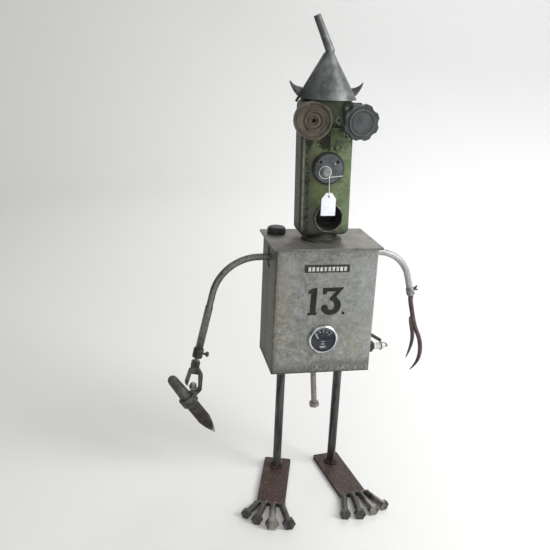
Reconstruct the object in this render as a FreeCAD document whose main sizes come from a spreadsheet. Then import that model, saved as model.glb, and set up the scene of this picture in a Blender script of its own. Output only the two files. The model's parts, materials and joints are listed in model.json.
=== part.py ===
"""A floor-standing robot figure, welded and bolted together from salvaged steel.

A galvanised junction box is the torso, a small oil can is the head, a funnel is the hat, two
bent pipes are the arms, two bars on flat plates are the legs, and hexagon bolts are the toes.

Frame: millimetres, +Z up, the figure faces -Y. While it is built, x = 0 is the torso's middle,
y = 0 is its front face and z = 0 is the floor. The shapes are written with the origin on the
floor under the middle of the whole figure.
"""
import FreeCAD, Part
import math
import os
import re
import Sketcher

Vector = FreeCAD.Vector
Rotation = FreeCAD.Rotation
X, Y, Z = Vector(1, 0, 0), Vector(0, 1, 0), Vector(0, 0, 1)

# ---------------------------------------------------------------- driving sizes
SIZES = {
    # torso: two folded trays and a lid
    "body_width": 203, "body_depth": 139, "body_height": 261, "seam_depth": 70,
    "body_wall": 2, "body_corner": 3, "lid_thickness": 4, "lid_overhang": 7, "lid_corner": 2,
    # badge strip on the chest
    "badge_width": 89, "badge_height": 15, "badge_thickness": 1.6, "badge_level": 219.5,
    "badge_bar_width": 5.2, "badge_bar_pitch": 7.9, "badge_bar_height": 8.5,
    "badge_bar_thickness": 1.4, "badge_bar_count": 10,
    # round gauge below it
    "gauge_level": 73.5, "bezel_radius": 30.5, "bezel_depth": 7, "dial_radius": 26.5,
    "case_radius": 25.5, "case_depth": 34, "dial_thickness": 0.8, "glass_thickness": 1,
    "needle_length": 31, "needle_width": 1.5, "needle_thickness": 0.5, "needle_drop": 13,
    "needle_lean": 33.7, "hood_top": 1,
    # neck and filler on the lid
    "neck_x": 3, "neck_radius": 40, "neck_flange_thickness": 4, "neck_height": 13,
    "neck_collar_radius": 31, "neck_collar_height": 4, "neck_ring_radius": 27,
    "neck_pin_radius": 10, "neck_pin_rise": 20, "running_gap": 0.05, "turning_gap": 0.4,
    "filler_x": 80, "filler_back": 113, "filler_radius": 14, "filler_height": 7.6,
    "cap_radius": 18.5, "cap_height": 14, "cap_flute_radius": 3, "cap_flute_count": 12,
    # legs and feet
    "leg_length": 258, "leg_radius": 9, "leg_back": 70, "left_leg_x": 65.5, "right_leg_x": 58,
    "foot_thickness": 8, "foot_width": 57.5, "foot_corner": 4,
    "left_foot_front": 135, "left_foot_rear": 31, "left_foot_turn": 16.2,
    "right_foot_front": 121, "right_foot_rear": 35, "right_foot_turn": 7.6,
    "weld_radius": 16, "weld_height": 9, "hip_weld_radius": 13.5, "hip_weld_height": 5,
    "toe_radius": 6.35, "toe_head_thickness": 8.5,
    "toe_root_height": 7, "toe_gap": 3, "toe_weld_radius": 4.2, "toe_weld_length": 11,
    "toe_weld_rise": 3,
    # bolt hanging under the torso
    "tail_x": 1, "tail_back": 60, "tail_length": 104, "tail_lean": 4.9, "tail_radius": 6,
    "tail_flats": 19, "tail_head": 9,
    # arms: bent pipe
    "pipe_radius": 6.75, "pipe_bore": "=pipe_radius - 2", "arm_inset": 9, "anchor_thickness": 4,
    "anchor_depth": 36, "anchor_height": 54,
    "left_arm_level": 224, "left_arm_reach": 27.5, "left_arm_bend_radius": 95,
    "left_arm_bend": 77.7, "left_arm_drop": 127, "slot_width": "=2 * pipe_radius + 9",
    "slot_above": 27, "slot_below": 20,
    "right_arm_level": 231, "right_arm_reach": 32.5, "right_arm_bend_radius": 72,
    "right_arm_bend": 74.4, "right_arm_drop": 44, "arm_hole_radius": "=pipe_radius + 0.75",
    # left hand: collar, swivel rod, nut, yoke, band and pointed bar
    "collar_radius": "=pipe_radius + 3.75", "collar_above": 7, "collar_below": 13, "rod_radius": 4.5,
    "thumb_screw_radius": 2.5, "thumb_head_radius": 5.5, "thumb_head_start": 16,
    "thumb_head_end": 22, "thumb_level": 3.4, "hand_nut_flats": 17, "hand_nut_start": 22,
    "hand_nut_end": 34, "yoke_thickness": 12, "yoke_screw_radius": 3,
    "yoke_screw_head_radius": 6.5, "band_level": 110.5, "band_side": 4, "band_radius": 18,
    "band_width": 20, "bar_radius": 13.5, "bar_upper_radius": 10.5, "bar_turn": 144.8,
    "bar_above": 56, "bar_taper_start": 57, "bar_below": 98,
    # right hand: ferrule, wing bolt and two-tined claw
    "ferrule_radius": "=pipe_radius + 1.85", "ferrule_length": 16,
    "claw_stem_radius": "=pipe_bore - running_gap",
    "claw_stem_length": 24, "wing_level": 11, "wing_screw_radius": 2, "wing_height": 11,
    "wing_start": "=ferrule_radius + 0.3", "wing_end": "=wing_start + 8.1", "wing_thickness": 3,
    # spark plug and its lead on the right side
    "plug_back": 40, "plug_level": 35.5, "plug_flats": 22, "plug_body_length": 20.5,
    "insulator_length": 24, "insulator_radius": 7.4, "insulator_waist": 6.4,
    "terminal_length": 7, "terminal_radius": 3.4, "lead_radius": 3.5, "lead_level": 69,
    "lead_drop": 21.5, "lead_run": 35, "clip_wire": 1.1, "clip_x": 36,
    # head: can, mouth, eyes, nose, clip
    "head_x": 0.5, "head_front": 43, "head_width": 100, "head_depth": 51,
    "head_height": 258, "head_corner": 14, "head_edge": 4, "head_wall": 1.5, "head_lean": 1.5,
    "mouth_x": 7, "mouth_level": 36, "mouth_lip_radius": 29, "mouth_bore": 25.5,
    "mouth_tube_radius": 27.5, "mouth_lip": 5, "mouth_depth": 34,
    "left_eye_x": 37, "eye_level": 221, "left_eye_radius": 35, "left_eye_depth": 20,
    "right_eye_x": 49, "right_eye_radius": 34, "right_eye_thickness": 14,
    "right_eye_face_radius": 24, "right_eye_face_rise": 4, "right_eye_standoff": 21,
    "eye_lobe_count": 8, "eye_scallop_radius": 14, "eye_scallop_depth": 3,
    "eye_spindle_radius": 5, "eye_bush_radius": 9, "eye_bush_length": 9,
    "bracket_thickness": 4, "eyelet_x": 15, "eyelet_radius": 6.5, "eyelet_bore": 4,
    "clip_x_left": 1, "clip_width": 24, "clip_level": 173, "clip_height": 34,
    "clip_thickness": 2, "nose_level": 132, "nose_base_radius": 31, "nose_base_depth": 6,
    "nose_plate_radius": 27, "nose_plate_depth": 3, "nose_knob_x": 11, "nose_knob_drop": 3,
    "nose_knob_radius": 8.5, "nose_knob_start": 12, "nose_knob_end": 29, "nose_stem_radius": 4,
    # funnel hat and horns
    "hat_x": 3.4, "hat_radius": 55.5, "hat_neck_radius": 8.5, "hat_height": 81,
    "hat_collar": 5, "hat_sheet": 0.9, "hat_seat_height": 3, "spout_turn": 25.2,
    "spout_length": 66, "spout_tip_radius": 6.75, "hat_seam_width": 4, "hat_seam_proud": 2.2,
    "hat_tab": 8,
    # price tag on its string
    "tag_width": 28, "tag_shoulder": 32, "tag_length": 44, "tag_clip": 12, "tag_thickness": 0.6,
    "tag_hole_radius": 2, "tag_hole_drop": 47, "tag_side": 10, "string_radius": 0.6,
    "string_loop_radius": 11.5, "string_loop_drop": 1.7,
}

# toes of each foot, from its left to its right: place across the plate, outward fan, length,
# width of the head across its flats
LEFT_TOES = ((-26.8, -24, 42, 18), (-13.2, -8, 54, 19.5), (5, 4, 65, 23), (23.8, 17, 62, 22))
RIGHT_TOES = ((-22.6, -21, 62, 19), (-2.4, -12, 67, 20), (14, 1, 60, 19.5), (28, 17, 53, 18))

# tines of the claw, from the wrist down: sideways, down, radius
OUTER_TINE = ((0.3, 0, 5.2), (4, 24, 5.1), (9, 44, 5.1), (17, 70, 5.3), (29, 96, 5.1),
              (35, 124, 4.7), (33, 146, 4), (25, 162, 2.6), (16, 172, 0.9))
INNER_TINE = ((5, 50, 2.6), (10, 76, 4), (14, 100, 4), (12, 119, 3.2), (8, 134, 2.2),
              (4, 145, 0.8))

# horns, from the funnel out to the tip: sideways, height over the rim, half height, half depth
HORN = ((40, 6, 11, 6.5), (49, 9, 10.5, 6), (57, 13, 8.5, 5.4), (63, 18, 6.2, 4.6),
        (67.5, 23.5, 4.4, 3.4), (71, 29, 2, 1.8))

# ---------------------------------------------------------------- document and helpers
doc = FreeCAD.newDocument("SalvageRobot")
sheet = doc.addObject("Spreadsheet::Sheet", "Sizes")
for row, (alias, number) in enumerate(SIZES.items(), 1):
    sheet.set(f"A{row}", alias)
    sheet.set(f"B{row}", str(number))
    sheet.setAlias(f"B{row}", alias)
doc.recompute()

parts = {}


def bound(text):
    """The text of an expression with every size's name led by the sheet's name."""
    return re.sub(r"[A-Za-z_]\w*", lambda m: "Sizes." + m[0] if m[0] in SIZES else m[0], str(text))


def value(text):
    """What an expression on the sizes comes to now."""
    result = sheet.evalExpression(bound(text).replace("Sizes.", ""))
    return float(getattr(result, "Value", result))


def bind(thing, **expressions):
    """Tie properties of an object to expressions on the sizes."""
    for name, text in expressions.items():
        whole = isinstance(getattr(thing, name), int)
        setattr(thing, name, round(value(text)) if whole else value(text))
        thing.setExpression(name, bound(text))


def place(thing, at, turn=None):
    """Put an object at three expressions, turned by an (axis, angle) pair or a rotation."""
    rotation = Rotation()
    if isinstance(turn, tuple):
        rotation = Rotation(turn[0], value(turn[1]))
    elif turn is not None:
        rotation = turn
    thing.Placement = FreeCAD.Placement(Vector(*(value(text) for text in at)), rotation)
    for name, text in zip("xyz", at):
        thing.setExpression(f"Placement.Base.{name}", bound(text))
    return thing


def keep(label, thing):
    """Give a finished sub-part its label and list it for writing."""
    thing.Label = label
    parts[label] = thing
    return thing


def plane(body, role):
    return next(item for item in body.Origin.OriginFeatures if item.Role == role)


def sketch(body, role="XY_Plane", height="0"):
    """A sketch on one of the body's own planes, raised along the plane's normal."""
    drawing = body.newObject("Sketcher::SketchObject", body.Name + "_sketch")
    drawing.AttachmentSupport = [(plane(body, role), "")]
    drawing.MapMode = "FlatFace"
    drawing.AttachmentOffset = FreeCAD.Placement(Vector(0, 0, value(height)), Rotation())
    drawing.setExpression("AttachmentOffset.Base.z", bound(height))
    return drawing


def pin(drawing, geometry, point, at):
    """Hold a point of a sketch at two expressions."""
    for kind, text in zip(("DistanceX", "DistanceY"), at):
        rule = Sketcher.Constraint(kind, -1, 1, geometry, point, value(text))
        drawing.setExpression(f"Constraints[{drawing.addConstraint(rule)}]", bound(text))


def polygon(drawing, corners):
    """A closed outline of straight lines through corners given as expressions."""
    first = drawing.GeometryCount
    spots = [Vector(value(u), value(v), 0) for u, v in corners]
    count = len(spots)
    for i in range(count):
        drawing.addGeometry(Part.LineSegment(spots[i], spots[(i + 1) % count]))
    for i in range(count):
        joint = Sketcher.Constraint("Coincident", first + i, 2, first + (i + 1) % count, 1)
        drawing.addConstraint(joint)
    for i, corner in enumerate(corners):
        pin(drawing, first + i, 1, corner)


def circle(drawing, at, radius):
    """A circle whose centre and radius are expressions."""
    centre = Vector(value(at[0]), value(at[1]), 0)
    number = drawing.addGeometry(Part.Circle(centre, Z, value(radius)))
    pin(drawing, number, 3, at)
    rule = drawing.addConstraint(Sketcher.Constraint("Radius", number, value(radius)))
    drawing.setExpression(f"Constraints[{rule}]", bound(radius))


def rectangle(drawing, left, right, low, high):
    polygon(drawing, ((left, low), (right, low), (right, high), (left, high)))


def new_body(label):
    return doc.addObject("PartDesign::Body", label)


def pad(body, drawing, length, backwards=False):
    feature = body.newObject("PartDesign::Pad", body.Name + "_pad")
    feature.Profile = drawing
    feature.Reversed = backwards
    bind(feature, Length=length)
    doc.recompute()
    return feature


def pocket(body, drawing, length, backwards=False):
    """Cut a sketch's shape out of the body, and make sure that it took something away."""
    before = body.Shape.Volume
    feature = body.newObject("PartDesign::Pocket", body.Name + "_pocket")
    feature.Profile = drawing
    feature.Reversed = backwards
    bind(feature, Length=length)
    doc.recompute()
    assert body.Shape.Volume < before - 1e-6, body.Name + ": the pocket cuts nothing"
    return feature


def edges(feature, wanted):
    """Names of a feature's edges whose middle point passes a test."""
    names = []
    for number, edge in enumerate(feature.Shape.Edges, 1):
        middle = edge.valueAt((edge.FirstParameter + edge.LastParameter) / 2)
        if wanted(edge, middle):
            names.append(f"Edge{number}")
    return names


def fillet(body, feature, names, radius):
    rounding = body.newObject("PartDesign::Fillet", body.Name + "_fillet")
    rounding.Base = (feature, names)
    bind(rounding, Radius=radius)
    doc.recompute()
    return rounding


def upright(edge, middle):
    """Whether an edge is straight and runs along local Z."""
    low, high = edge.Vertexes[0].Point, edge.Vertexes[-1].Point
    return abs(low.x - high.x) + abs(low.y - high.y) < 1e-6 and abs(low.z - high.z) > 1e-6


def turned(name, outline, at=("0", "0", "0"), turn=None):
    """A lathe-turned piece: an outline of (radius, height) corners about local Z."""
    body = new_body(name)
    drawing = sketch(body, "XZ_Plane")
    polygon(drawing, outline)
    feature = body.newObject("PartDesign::Revolution", name + "_turned")
    feature.Profile = drawing
    feature.ReferenceAxis = (drawing, ["V_Axis"])
    feature.Angle = 360
    return place(body, at, turn)


def prism(name, corners, length, at=("0", "0", "0"), turn=None, corner_round=None, holes=()):
    """A plate or bar: an outline on local XY, raised along local Z."""
    body = new_body(name)
    drawing = sketch(body)
    polygon(drawing, corners)
    for centre, radius in holes:
        circle(drawing, centre, radius)
    feature = pad(body, drawing, length)
    if corner_round:
        fillet(body, feature, edges(feature, upright), corner_round)
    return place(body, at, turn)


def box_corners(left, right, low, high):
    return ((left, low), (right, low), (right, high), (left, high))


def hexagon(flats):
    """Corners of a hexagon whose flats face local +X and -X."""
    half, side, point = f"({flats}) / 2", f"({flats}) / sqrt(12)", f"({flats}) / sqrt(3)"
    return ((half, f"-{side}"), (half, side), ("0", point),
            (f"-{half}", side), (f"-{half}", f"-{side}"), ("0", f"-{point}"))


def rod(name, radius, length, at, turn=None):
    thing = doc.addObject("Part::Cylinder", name)
    bind(thing, Radius=radius, Height=length)
    return place(thing, at, turn)


def ball(name, radius, at):
    thing = doc.addObject("Part::Sphere", name)
    bind(thing, Radius=radius)
    return place(thing, at)


def block(name, size, at, turn=None):
    thing = doc.addObject("Part::Box", name)
    bind(thing, Length=size[0], Width=size[1], Height=size[2])
    return place(thing, at, turn)


def cut(name, base, *tools):
    """The base less each tool in turn."""
    for number, tool in enumerate(tools):
        result = doc.addObject("Part::Cut", f"{name}_cut_{number}")
        result.Base = base
        result.Tool = tool
        base = result
    return base


def fuse(name, *things):
    result = doc.addObject("Part::MultiFuse", name + "_fused")
    result.Shapes = list(things)
    return result


def group(name, *things):
    """Separate solids held together in one sub-part."""
    result = doc.addObject("Part::Compound", name + "_group")
    result.Links = list(things)
    return result


# how local Z is turned to look forwards (-Y) or sideways (+X)
FORWARD = (X, "90")
SIDEWAYS = (Y, "90")

BODY_BOTTOM = "(foot_thickness + leg_length)"
BODY_TOP = f"({BODY_BOTTOM} + body_height)"
LID_BOTTOM = f"({BODY_TOP} - lid_thickness)"
HALF_WIDTH = "body_width / 2"
HEAD_BOTTOM = f"({BODY_TOP} + neck_height)"


# ---------------------------------------------------------------- torso
def tray(name, front, depth, rounded_at_front):
    """One folded half of the torso box, open on the side that faces the seam."""
    outer = new_body(name + "_outer")
    drawing = sketch(outer)
    rectangle(drawing, f"-{HALF_WIDTH}", HALF_WIDTH, front, f"{front} + {depth}")
    feature = pad(outer, drawing, "body_height - lid_thickness")
    far_y = value(front if rounded_at_front else f"{front} + {depth}")
    names = edges(feature, lambda edge, middle: upright(edge, middle) and abs(middle.y - far_y) < 1)
    fillet(outer, feature, names, "body_corner")
    place(outer, ("0", "0", BODY_BOTTOM))
    hollow_front = f"{front} + body_wall" if rounded_at_front else f"{front} - body_wall"
    hollow = block(name + "_hollow",
                   ("body_width - 2 * body_wall", depth, "body_height - lid_thickness - body_wall"),
                   (f"-{HALF_WIDTH} + body_wall", hollow_front, f"{BODY_BOTTOM} + body_wall"))
    return outer, hollow


arm_slot = block("arm_slot", ("body_wall * 3", "slot_width", "slot_above + slot_below"),
                 (f"-{HALF_WIDTH} - body_wall", "seam_depth - slot_width / 2",
                  f"{BODY_BOTTOM} + left_arm_level - slot_below"))
arm_hole = rod("arm_hole", "arm_hole_radius", "body_wall * 3",
               (f"{HALF_WIDTH} - body_wall * 2", "seam_depth",
                f"{BODY_BOTTOM} + right_arm_level"), SIDEWAYS)
gauge_hole = rod("gauge_hole", "case_radius + turning_gap", "body_wall * 3",
                 ("0", "body_wall * 2", f"{BODY_BOTTOM} + gauge_level"), FORWARD)
front_outer, front_hollow = tray("front_tray", "0", "seam_depth", True)
rear_outer, rear_hollow = tray("rear_tray", "seam_depth", "(body_depth - seam_depth)", False)
keep("front_tray", cut("front_tray", front_outer, front_hollow, arm_slot, arm_hole, gauge_hole))
keep("rear_tray", cut("rear_tray", rear_outer, rear_hollow, arm_slot, arm_hole))

keep("top_plate", prism(
    "top_plate",
    box_corners(f"-{HALF_WIDTH} - lid_overhang", f"{HALF_WIDTH} + lid_overhang",
                "-lid_overhang", "body_depth + lid_overhang"),
    "lid_thickness", ("0", "0", LID_BOTTOM), None, "lid_corner",
    ((("-filler_x", "filler_back"), "filler_radius - 3"),)))

BADGE_MIDDLE = f"{BODY_BOTTOM} + badge_level"
keep("badge_plate", prism(
    "badge_plate",
    box_corners("-badge_width / 2", "badge_width / 2", "-badge_height / 2", "badge_height / 2"),
    "badge_thickness", ("0", "0", BADGE_MIDDLE), FORWARD))
bars = []
for number in range(SIZES["badge_bar_count"]):
    middle = f"({number} - (badge_bar_count - 1) / 2) * badge_bar_pitch"
    bars.append(prism(
        f"badge_bar_{number}",
        box_corners(f"{middle} - badge_bar_width / 2", f"{middle} + badge_bar_width / 2",
                    "-badge_bar_height / 2", "badge_bar_height / 2"),
        "badge_bar_thickness", ("0", "-badge_thickness", BADGE_MIDDLE), FORWARD))
keep("badge_bars", group("badge_bars", *bars))

# ---------------------------------------------------------------- gauge
GAUGE = ("0", "0", f"{BODY_BOTTOM} + gauge_level")
keep("gauge_case", turned("gauge_case", (
    ("0", "-case_depth"), ("case_radius - 3", "-case_depth"), ("case_radius", "-case_depth + 3"),
    ("case_radius", "0"), ("case_radius", "0.6"), ("0", "0.6")), GAUGE, FORWARD))
keep("gauge_bezel", turned("gauge_bezel", (
    ("case_radius", "0"), ("bezel_radius", "0"), ("bezel_radius", "bezel_depth * 0.45"),
    ("bezel_radius - 1.2", "bezel_depth * 0.8"), ("bezel_radius - 3", "bezel_depth"),
    ("dial_radius - 1", "bezel_depth * 0.93"), ("dial_radius - 1.4", "bezel_depth * 0.8"),
    ("dial_radius", "bezel_depth * 0.8"), ("dial_radius", "0.6"), ("case_radius", "0.6")),
    GAUGE, FORWARD))
GLASS_BACK = "(bezel_depth * 0.8 - glass_thickness)"
keep("gauge_glass", turned("gauge_glass", (
    ("0", GLASS_BACK), ("dial_radius", GLASS_BACK), ("dial_radius", "bezel_depth * 0.8"),
    ("0", "bezel_depth * 0.8")), GAUGE, FORWARD))

DIAL_FRONT = "(0.6 + dial_thickness)"
dial_disc = turned("dial_disc", (
    ("0", "0.6"), ("dial_radius", "0.6"), ("dial_radius", DIAL_FRONT), ("0", DIAL_FRONT)),
    GAUGE, FORWARD)
HOOD_BACK = f"({DIAL_FRONT} + needle_thickness + turning_gap * 2)"
hood_disc = turned("hood_disc", (
    ("0", HOOD_BACK), ("dial_radius", HOOD_BACK), ("dial_radius", f"{HOOD_BACK} + 0.6"),
    ("0", f"{HOOD_BACK} + 0.6")), GAUGE, FORWARD)
hood_rim = turned("hood_rim", (
    ("dial_radius - 1", DIAL_FRONT), ("dial_radius", DIAL_FRONT), ("dial_radius", HOOD_BACK),
    ("dial_radius - 1", HOOD_BACK)), GAUGE, FORWARD)
hood_trim = block("hood_trim", ("bezel_radius * 2", "bezel_depth", "bezel_radius"),
                  ("-bezel_radius", f"-{DIAL_FRONT} - bezel_depth", f"{GAUGE[2]} + hood_top"))
hood = cut("hood", fuse("hood", hood_disc, hood_rim), hood_trim)
keep("gauge_dial", fuse("gauge_dial", dial_disc, hood))

NEEDLE_PIVOT = ("0", f"-{DIAL_FRONT} - turning_gap", f"{GAUGE[2]} - needle_drop")
needle = new_body("gauge_needle")
drawing = sketch(needle)
polygon(drawing, (("-needle_width / 2", "-4"), ("needle_width / 2", "-4"),
                  ("needle_width / 2", "needle_length * 0.8"), ("0", "needle_length"),
                  ("-needle_width / 2", "needle_length * 0.8")))
pad(needle, drawing, "needle_thickness")
hub = sketch(needle)
circle(hub, ("0", "0"), "needle_width * 1.6")
pad(needle, hub, "needle_thickness")
place(needle, NEEDLE_PIVOT, Rotation(Y, -value("needle_lean")) * Rotation(X, 90))
keep("gauge_needle", needle)

# ---------------------------------------------------------------- neck and filler
NECK = ("neck_x", "leg_back - 1", BODY_TOP)
COLLAR_TOP = "(neck_flange_thickness + neck_collar_height)"
keep("neck_flange", turned("neck_flange", (
    ("0", "0"), ("neck_radius", "0"), ("neck_radius", "neck_flange_thickness - 1"),
    ("neck_radius - 2", "neck_flange_thickness"),
    ("neck_collar_radius", "neck_flange_thickness"),
    ("neck_collar_radius", f"{COLLAR_TOP} - 2.4"), ("neck_collar_radius - 1.2", f"{COLLAR_TOP} - 1.2"),
    ("neck_collar_radius - 1.2", COLLAR_TOP), ("neck_pin_radius", COLLAR_TOP),
    ("neck_pin_radius", "neck_pin_rise"), ("0", "neck_pin_rise")), NECK))

keep("filler_neck", turned("filler_neck", (
    ("filler_radius - 3", "-lid_thickness"), ("filler_radius - 3", "0"), ("filler_radius - 2", "0"),
    ("filler_radius - 2", "filler_height"), ("filler_radius - 5", "filler_height"),
    ("filler_radius - 5", "-lid_thickness")), ("-filler_x", "filler_back", BODY_TOP)))
cap = new_body("filler_cap")
drawing = sketch(cap, "XZ_Plane")
polygon(drawing, (("0", "cap_height"), ("0", "8"), ("filler_radius - 2 + turning_gap", "8"),
                  ("filler_radius - 2 + turning_gap", "0"), ("cap_radius", "0"),
                  ("cap_radius", "cap_height - 4"), ("cap_radius - 2.5", "cap_height - 1"),
                  ("cap_radius - 6", "cap_height")))
feature = cap.newObject("PartDesign::Revolution", "cap_turned")
feature.Profile = drawing
feature.ReferenceAxis = (drawing, ["V_Axis"])
feature.Angle = 360
doc.recompute()


def notch_ring(body, notch_radius, notch_centre, depth, count, backwards):
    """Round notches cut along local Z into a body's rim, evenly spaced."""
    notch = sketch(body)
    circle(notch, (notch_centre, "0"), notch_radius)
    first = pocket(body, notch, depth, backwards)
    ring = body.newObject("PartDesign::PolarPattern", body.Name + "_notches")
    ring.Originals = [first]
    ring.Axis = (plane(body, "Z_Axis"), [""])
    ring.Angle = 360
    bind(ring, Occurrences=count)
    body.Tip = ring
    doc.recompute()
    return ring


notch_ring(cap, "cap_flute_radius", "cap_radius + cap_flute_radius - 1.4", "cap_height",
           "cap_flute_count", True)
place(cap, ("-filler_x", "filler_back", f"{BODY_TOP} + 0.6"))
keep("filler_cap", cap)

# ---------------------------------------------------------------- legs, feet and toes
FEET = {
    "left": ("-left_leg_x", "left_foot", -value("left_foot_turn"), LEFT_TOES),
    "right": ("right_leg_x", "right_foot", value("right_foot_turn"), RIGHT_TOES),
}
welds = []
toe_welds = []
for side, (leg_x, foot, heading, toes) in FEET.items():
    leg = rod(f"{side}_leg", "leg_radius", "leg_length", (leg_x, "leg_back", "foot_thickness"))
    keep(f"{side}_leg", leg)
    welds.append(turned(f"{side}_ankle_weld", (
        ("leg_radius", "0"), ("weld_radius", "0"), ("weld_radius - 1", "weld_height * 0.3"),
        ("leg_radius + 3", "weld_height * 0.75"), ("leg_radius + 0.8", "weld_height"),
        ("leg_radius", "weld_height")), (leg_x, "leg_back", "foot_thickness")))
    welds.append(turned(f"{side}_hip_weld", (
        ("leg_radius", "0"), ("hip_weld_radius", "0"),
        ("leg_radius + 1.5", "-hip_weld_height * 0.7"), ("leg_radius + 0.5", "-hip_weld_height"),
        ("leg_radius", "-hip_weld_height")), (leg_x, "leg_back", BODY_BOTTOM)))

    # the plate is drawn with the leg at its origin and its toes towards local -Y
    plate = prism(f"{side}_foot_plate",
                  box_corners("-foot_width / 2", "foot_width / 2", f"-{foot}_front", f"{foot}_rear"),
                  "foot_thickness", (leg_x, "leg_back", "0"), Rotation(Z, heading), "foot_corner")
    keep(f"{side}_foot_plate", plate)

    ground = Rotation(Z, heading)
    leg_spot = Vector(value(leg_x), value("leg_back"), 0)
    bolts = []
    beads = []
    for number, (across, fan, length, flats) in enumerate(toes):
        local_root = Vector(across, -value(f"{foot}_front + toe_gap"), 0)
        root = leg_spot + ground.multVec(local_root) + Vector(0, 0, value("toe_root_height"))
        tilt = math.degrees(math.asin((flats / 2 - value("toe_root_height")) / length)) * 1.08
        flat_way = ground * Rotation(Z, fan)
        ahead = flat_way.multVec(Vector(0, -1, math.tan(math.radians(tilt)))).normalize()
        side_way = flat_way.multVec(X)
        turn = Rotation(ahead.cross(side_way), side_way, ahead, "ZYX")
        bolt = new_body(f"{side}_toe_{number}")
        shank = sketch(bolt)
        circle(shank, ("0", "0"), "toe_radius")
        pad(bolt, shank, f"{length} - toe_head_thickness / 2")
        head = sketch(bolt, "XY_Plane", f"{length} - toe_head_thickness / 2")
        polygon(head, hexagon(str(flats)))
        pad(bolt, head, "toe_head_thickness")
        bolt.Placement = FreeCAD.Placement(root, turn)
        bolts.append(bolt)
        doc.recompute()
        bolt.Placement.Base.z -= min(0, bolt.Shape.BoundBox.ZMin) - 0.02
        bead_start = Vector(across - value("toe_weld_length / 2"), -value(f"{foot}_front + 1"), 0)
        spot = leg_spot + ground.multVec(bead_start)
        bead = rod(f"{side}_bead_{number}", "toe_weld_radius", "toe_weld_length",
                   (str(spot.x), str(spot.y), "foot_thickness + toe_weld_rise"),
                   ground * Rotation(Y, 90))
        beads.append(cut(f"{side}_toe_weld_{number}", bead, plate, bolt))
    bolt_group = group(f"{side}_toe_bolts", *bolts)
    keep(f"{side}_toe_bolts", bolt_group)
    toe_welds += beads
keep("toe_welds", group("toe_welds", *toe_welds))

# bolt hanging under the torso, cut off flush with the box
tail_full = new_body("tail_full")
shank = sketch(tail_full, "XY_Plane", "-tail_radius")
circle(shank, ("0", "0"), "tail_radius")
pad(tail_full, shank, "tail_length + tail_radius")
head = sketch(tail_full, "XY_Plane", "tail_length - tail_head / 2")
polygon(head, hexagon("tail_flats"))
pad(tail_full, head, "tail_head")
place(tail_full, ("-tail_x", "tail_back", BODY_BOTTOM), (Y, "180 - tail_lean"))
above_floor = block("above_box_floor", ("tail_radius * 6", "tail_radius * 6", "tail_radius * 4"),
                    ("-tail_x - tail_radius * 3", "tail_back - tail_radius * 3", BODY_BOTTOM))
tail_bolt = keep("tail_bolt", cut("tail_bolt", tail_full, above_floor))
tail_ring = turned("tail_ring", (
    ("0", "0"), ("tail_radius + 5", "0"), ("tail_radius + 1.5", "-3.5"), ("0", "-3.5")),
    ("-tail_x", "tail_back", BODY_BOTTOM))
welds.append(cut("tail_weld", tail_ring, tail_bolt))
keep("frame_welds", group("frame_welds", *welds))


# ---------------------------------------------------------------- arms
def arm(side, mirrored):
    """Bent pipe: drawn from its inner end along local X, then round and down."""
    reach, radius = f"{side}_arm_reach", f"{side}_arm_bend_radius"
    bend, drop = f"{side}_arm_bend", f"{side}_arm_drop"
    body = new_body(f"{side}_arm_pipe")
    path = sketch(body, "XZ_Plane")
    start, bend_angle = value(reach), math.radians(value(bend))
    big, fall = value(radius), value(drop)
    low = Vector(start + big * math.sin(bend_angle), -big * (1 - math.cos(bend_angle)), 0)
    tip = low + Vector(fall * math.cos(bend_angle), -fall * math.sin(bend_angle), 0)
    path.addGeometry(Part.LineSegment(Vector(0, 0, 0), Vector(start, 0, 0)))
    round_part = Part.Circle(Vector(start, -big, 0), Z, big)
    path.addGeometry(Part.ArcOfCircle(round_part, math.pi / 2 - bend_angle, math.pi / 2))
    path.addGeometry(Part.LineSegment(low, tip))
    path.addConstraint(Sketcher.Constraint("Coincident", 0, 1, -1, 1))
    path.addConstraint(Sketcher.Constraint("Horizontal", 0))
    path.addConstraint(Sketcher.Constraint("Tangent", 0, 2, 1, 2))
    path.addConstraint(Sketcher.Constraint("Tangent", 1, 1, 2, 1))
    lengths = (("Distance", 0, reach), ("Radius", 1, radius), ("Distance", 2, drop))
    for kind, geometry, text in lengths:
        rule = path.addConstraint(Sketcher.Constraint(kind, geometry, value(text)))
        path.setExpression(f"Constraints[{rule}]", bound(text))
    rule = path.addConstraint(Sketcher.Constraint("Angle", 2, -bend_angle))
    path.setExpression(f"Constraints[{rule}]", bound(f"-{bend}"))
    ring = sketch(body, "YZ_Plane")
    circle(ring, ("0", "0"), "pipe_radius")
    circle(ring, ("0", "0"), "pipe_bore")
    pipe = body.newObject("PartDesign::AdditivePipe", body.Name + "_pipe")
    pipe.Profile = ring
    pipe.Spine = (path, ["Edge1", "Edge2", "Edge3"])
    inner = f"({HALF_WIDTH} - arm_inset)"
    level = f"({BODY_BOTTOM} + {side}_arm_level)"
    place(body, (f"-{inner}" if mirrored else inner, "seam_depth", level),
          (Z, "180") if mirrored else None)
    across = f"({inner} + {reach} + {radius} * sin({bend}) + {drop} * cos({bend}))"
    tip_z = f"({level} - {radius} * (1 - cos({bend})) - {drop} * sin({bend}))"
    return body, f"(-{across})" if mirrored else across, tip_z


def anchor(side, mirrored):
    """Plate inside the torso that the pipe passes through and is welded to."""
    x = f"-{HALF_WIDTH} + body_wall" if mirrored else f"{HALF_WIDTH} - body_wall - anchor_thickness"
    return prism(f"{side}_arm_anchor",
                 box_corners("-anchor_height / 2", "anchor_height / 2",
                             "-anchor_depth / 2", "anchor_depth / 2"),
                 "anchor_thickness", (x, "seam_depth", f"{BODY_BOTTOM} + {side}_arm_level - 4"),
                 SIDEWAYS, None, ((("-4", "0"), "pipe_radius"),))


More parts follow.
